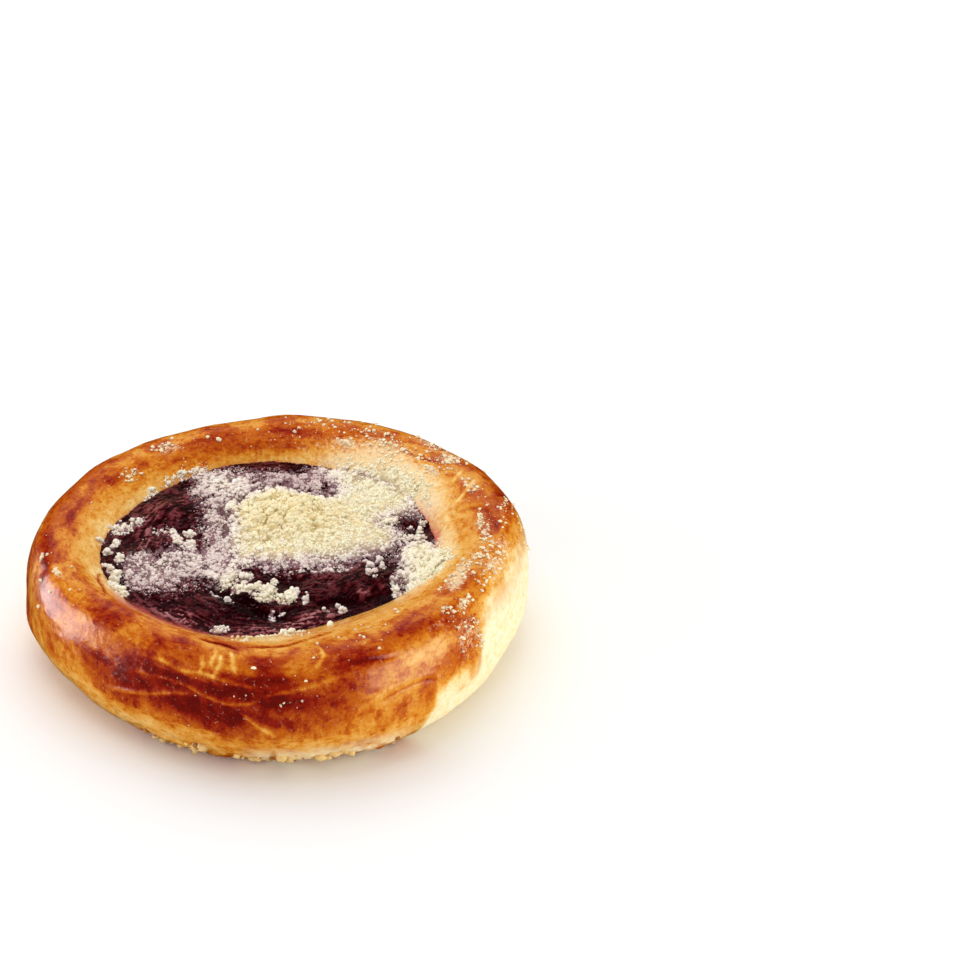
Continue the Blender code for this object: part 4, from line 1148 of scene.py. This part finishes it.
def strew_rim(name, form, sizes, share, seed, middle_tone):
    """Strews one size of crumb in the drifts on the rim, each lying outwards from its rope."""
    chance = np.random.default_rng(seed)
    bearing, at = [], []
    for middle, place, half, tall, count in RIM_DRIFTS:
        number = int(round(share * count))
        bearing.append(middle + half * chance.normal(0, 0.6, number))
        at.append(place + tall * chance.normal(0, 0.6, number))
    bearing, at = np.radians(np.concatenate(bearing)), np.clip(np.concatenate(at), 0.02, 2.3)
    size = crumb_sizes(chance, *sizes, len(at))
    ground = spot(at, bearing)
    away = ground - at_bearing(ROPE_RADIUS, bearing, ROPE_HEIGHT)
    away /= np.linalg.norm(away, axis=1, keepdims=True)
    tones = np.array(colour(*middle_tone)) * (1 + 0.10 * chance.normal(size=(len(at), 1)))
    strew(name, form, ground + 0.35 * size[:, None] * away, size, tones, chance,
          (crumble_finish, "butter_crumble", "dough_bun"), uneven=0.5, press=0.7)


strew_rim("rim_grains", BALL, (0.14, 0.56), 0.75, 181, (255, 230, 192))
strew_rim("rim_dust", DIAMOND, (0.10, 0.22), 1.0, 191, (255, 231, 194))

# Ragged bits along the lower front edge, where the soft dough stuck to the tray and tore, with
# one flake that hangs off it. Each step of the flake: how far out, how high and how large.
TORN_BITS = 90
FLAKE_BEARING = math.radians(-74.5)
FLAKE_STEPS = (
    (0.0010, 0.0030, 0.0009), (0.0020, 0.0022, 0.0008), (0.0029, 0.0015, 0.0007), (0.0034, 0.0013, 0.0010),
)
chance = np.random.default_rng(201)
bit_bearing = np.radians(chance.uniform(-124, -58, TORN_BITS))
bit_place = np.clip(2.62 + 0.12 * chance.normal(size=TORN_BITS), 2.40, 2.92)
bit_size = MM * chance.uniform(0.35, 1.15, TORN_BITS) ** 1.4
bit_at = spot(bit_place, bit_bearing)
bit_at[:, 2] = np.maximum(bit_at[:, 2], bit_size * 1.4)
bit_tones = np.array(colour(238, 200, 128)) * (1 + 0.12 * chance.normal(size=(TORN_BITS, 1)))
bit_tones[chance.random(TORN_BITS) < 0.25] = colour(176, 112, 42)
flake_out, flake_up, flake_size = np.array(FLAKE_STEPS).T
foot = np.hypot(*spot(np.array(3.0), np.array(FLAKE_BEARING))[:2]) + flake_out
flake_at = at_bearing(foot, FLAKE_BEARING, flake_up)
flake_tones = np.tile(colour(222, 168, 108), (len(flake_at), 1))
strew("torn_bits", FINE_BALL, np.concatenate((bit_at, flake_at)), np.concatenate((bit_size, flake_size)),
      np.concatenate((bit_tones, flake_tones)), chance, (crumble_finish, "glazed_crust", "dough_bun"),
      uneven=0.35)

# The floor, pale and plain, under soft light from panels at the left, the right and the back. The
# panels reach below its level, so the glaze mirrors them as from a white table. For that, the
# floor casts no shadow and isn't mirrored itself.
floor_mesh = bpy.data.meshes.new("floor")
floor_mesh.from_pydata([(-4, -4, 0), (4, -4, 0), (4, 4, 0), (-4, 4, 0)], [], [(0, 1, 2, 3)])
floor = bpy.data.objects.new("floor", floor_mesh)
bpy.context.scene.collection.objects.link(floor)
pale_floor = Finish("pale_floor", Roughness=0.9, Specular_IOR_Level=0.1)
floor_mesh.materials.append(pale_floor.into(Base_Color=pale_floor.ramp(
    pale_floor.grain(3, 2), ((0.0, (247, 247, 246)), (1.0, (251, 251, 250))))))
floor.visible_glossy = False
floor.visible_shadow = False

# Each panel: bearing, height of its middle in degrees, distance, width, height, power, whether it
# is mirrored in what is glossy, and whether it lights what is matt.
PANELS = (
    ("left_panel", 167, 1, 0.60, 0.49, 0.38, 4.2, True, False),
    ("left_fill", 198, 12, 0.60, 0.60, 0.40, 1.10, False, True),
    ("right_panel", -24, 1, 0.60, 0.46, 0.36, 1.65, True, True),
    ("back_panel", 92, 34, 0.80, 0.80, 0.30, 0.35, True, True),
    ("top_panel", 110, 72, 0.90, 0.90, 0.90, 5.0, False, True),
)
PANEL_RISE = 0.02
for name, panel_bearing, up, distance, width, tall, power, glossy, matt in PANELS:
    light = bpy.data.lights.new(name, "AREA")
    light.shape = "RECTANGLE"
    light.size = width
    light.size_y = tall
    light.energy = power
    panel = bpy.data.objects.new(name, light)
    a, e = math.radians(panel_bearing), math.radians(up)
    panel.location = at_bearing(distance * math.cos(e), a, distance * math.sin(e) + PANEL_RISE)
    panel.rotation_euler = (math.pi / 2 - e, 0, a + math.pi / 2)
    panel.visible_glossy = glossy
    panel.visible_diffuse = matt
    bpy.context.scene.collection.objects.link(panel)

world = bpy.data.worlds.new("studio")
world.use_nodes = True
background = world.node_tree.nodes["Background"]
background.inputs["Color"].default_value = (1, 1, 1, 1)
background.inputs["Strength"].default_value = 0.57
bpy.context.scene.world = world
world.cycles_visibility.glossy = False
bpy.context.scene.view_settings.view_transform = "Standard"

# The camera looks down at the pastry from the front, with the pastry in the frame's lower left.
CAMERA_DISTANCE = 1.5
CAMERA_PITCH = math.radians(32.16)
PIXELS_A_METRE = 4200
FRAME_PIXELS = 960
PASTRY_PIXEL = (280.6, 638.6)
SENSOR = 36
camera = bpy.data.objects.new("camera", bpy.data.cameras.new("camera"))
camera.data.sensor_width = SENSOR
camera.data.lens = PIXELS_A_METRE * CAMERA_DISTANCE * SENSOR / FRAME_PIXELS
camera.data.clip_start = 0.05
right_of_middle = (FRAME_PIXELS / 2 - PASTRY_PIXEL[0]) / PIXELS_A_METRE
above_middle = (PASTRY_PIXEL[1] - FRAME_PIXELS / 2) / PIXELS_A_METRE
ahead = np.array((0, math.cos(CAMERA_PITCH), -math.sin(CAMERA_PITCH)))
upward = np.array((0, math.sin(CAMERA_PITCH), math.cos(CAMERA_PITCH)))
stand = -ahead * CAMERA_DISTANCE + np.array((right_of_middle, 0, 0)) + upward * above_middle
camera.location = tuple(stand)
camera.rotation_euler = (math.pi / 2 - CAMERA_PITCH, 0, 0)
bpy.context.scene.collection.objects.link(camera)
bpy.context.scene.camera = camera
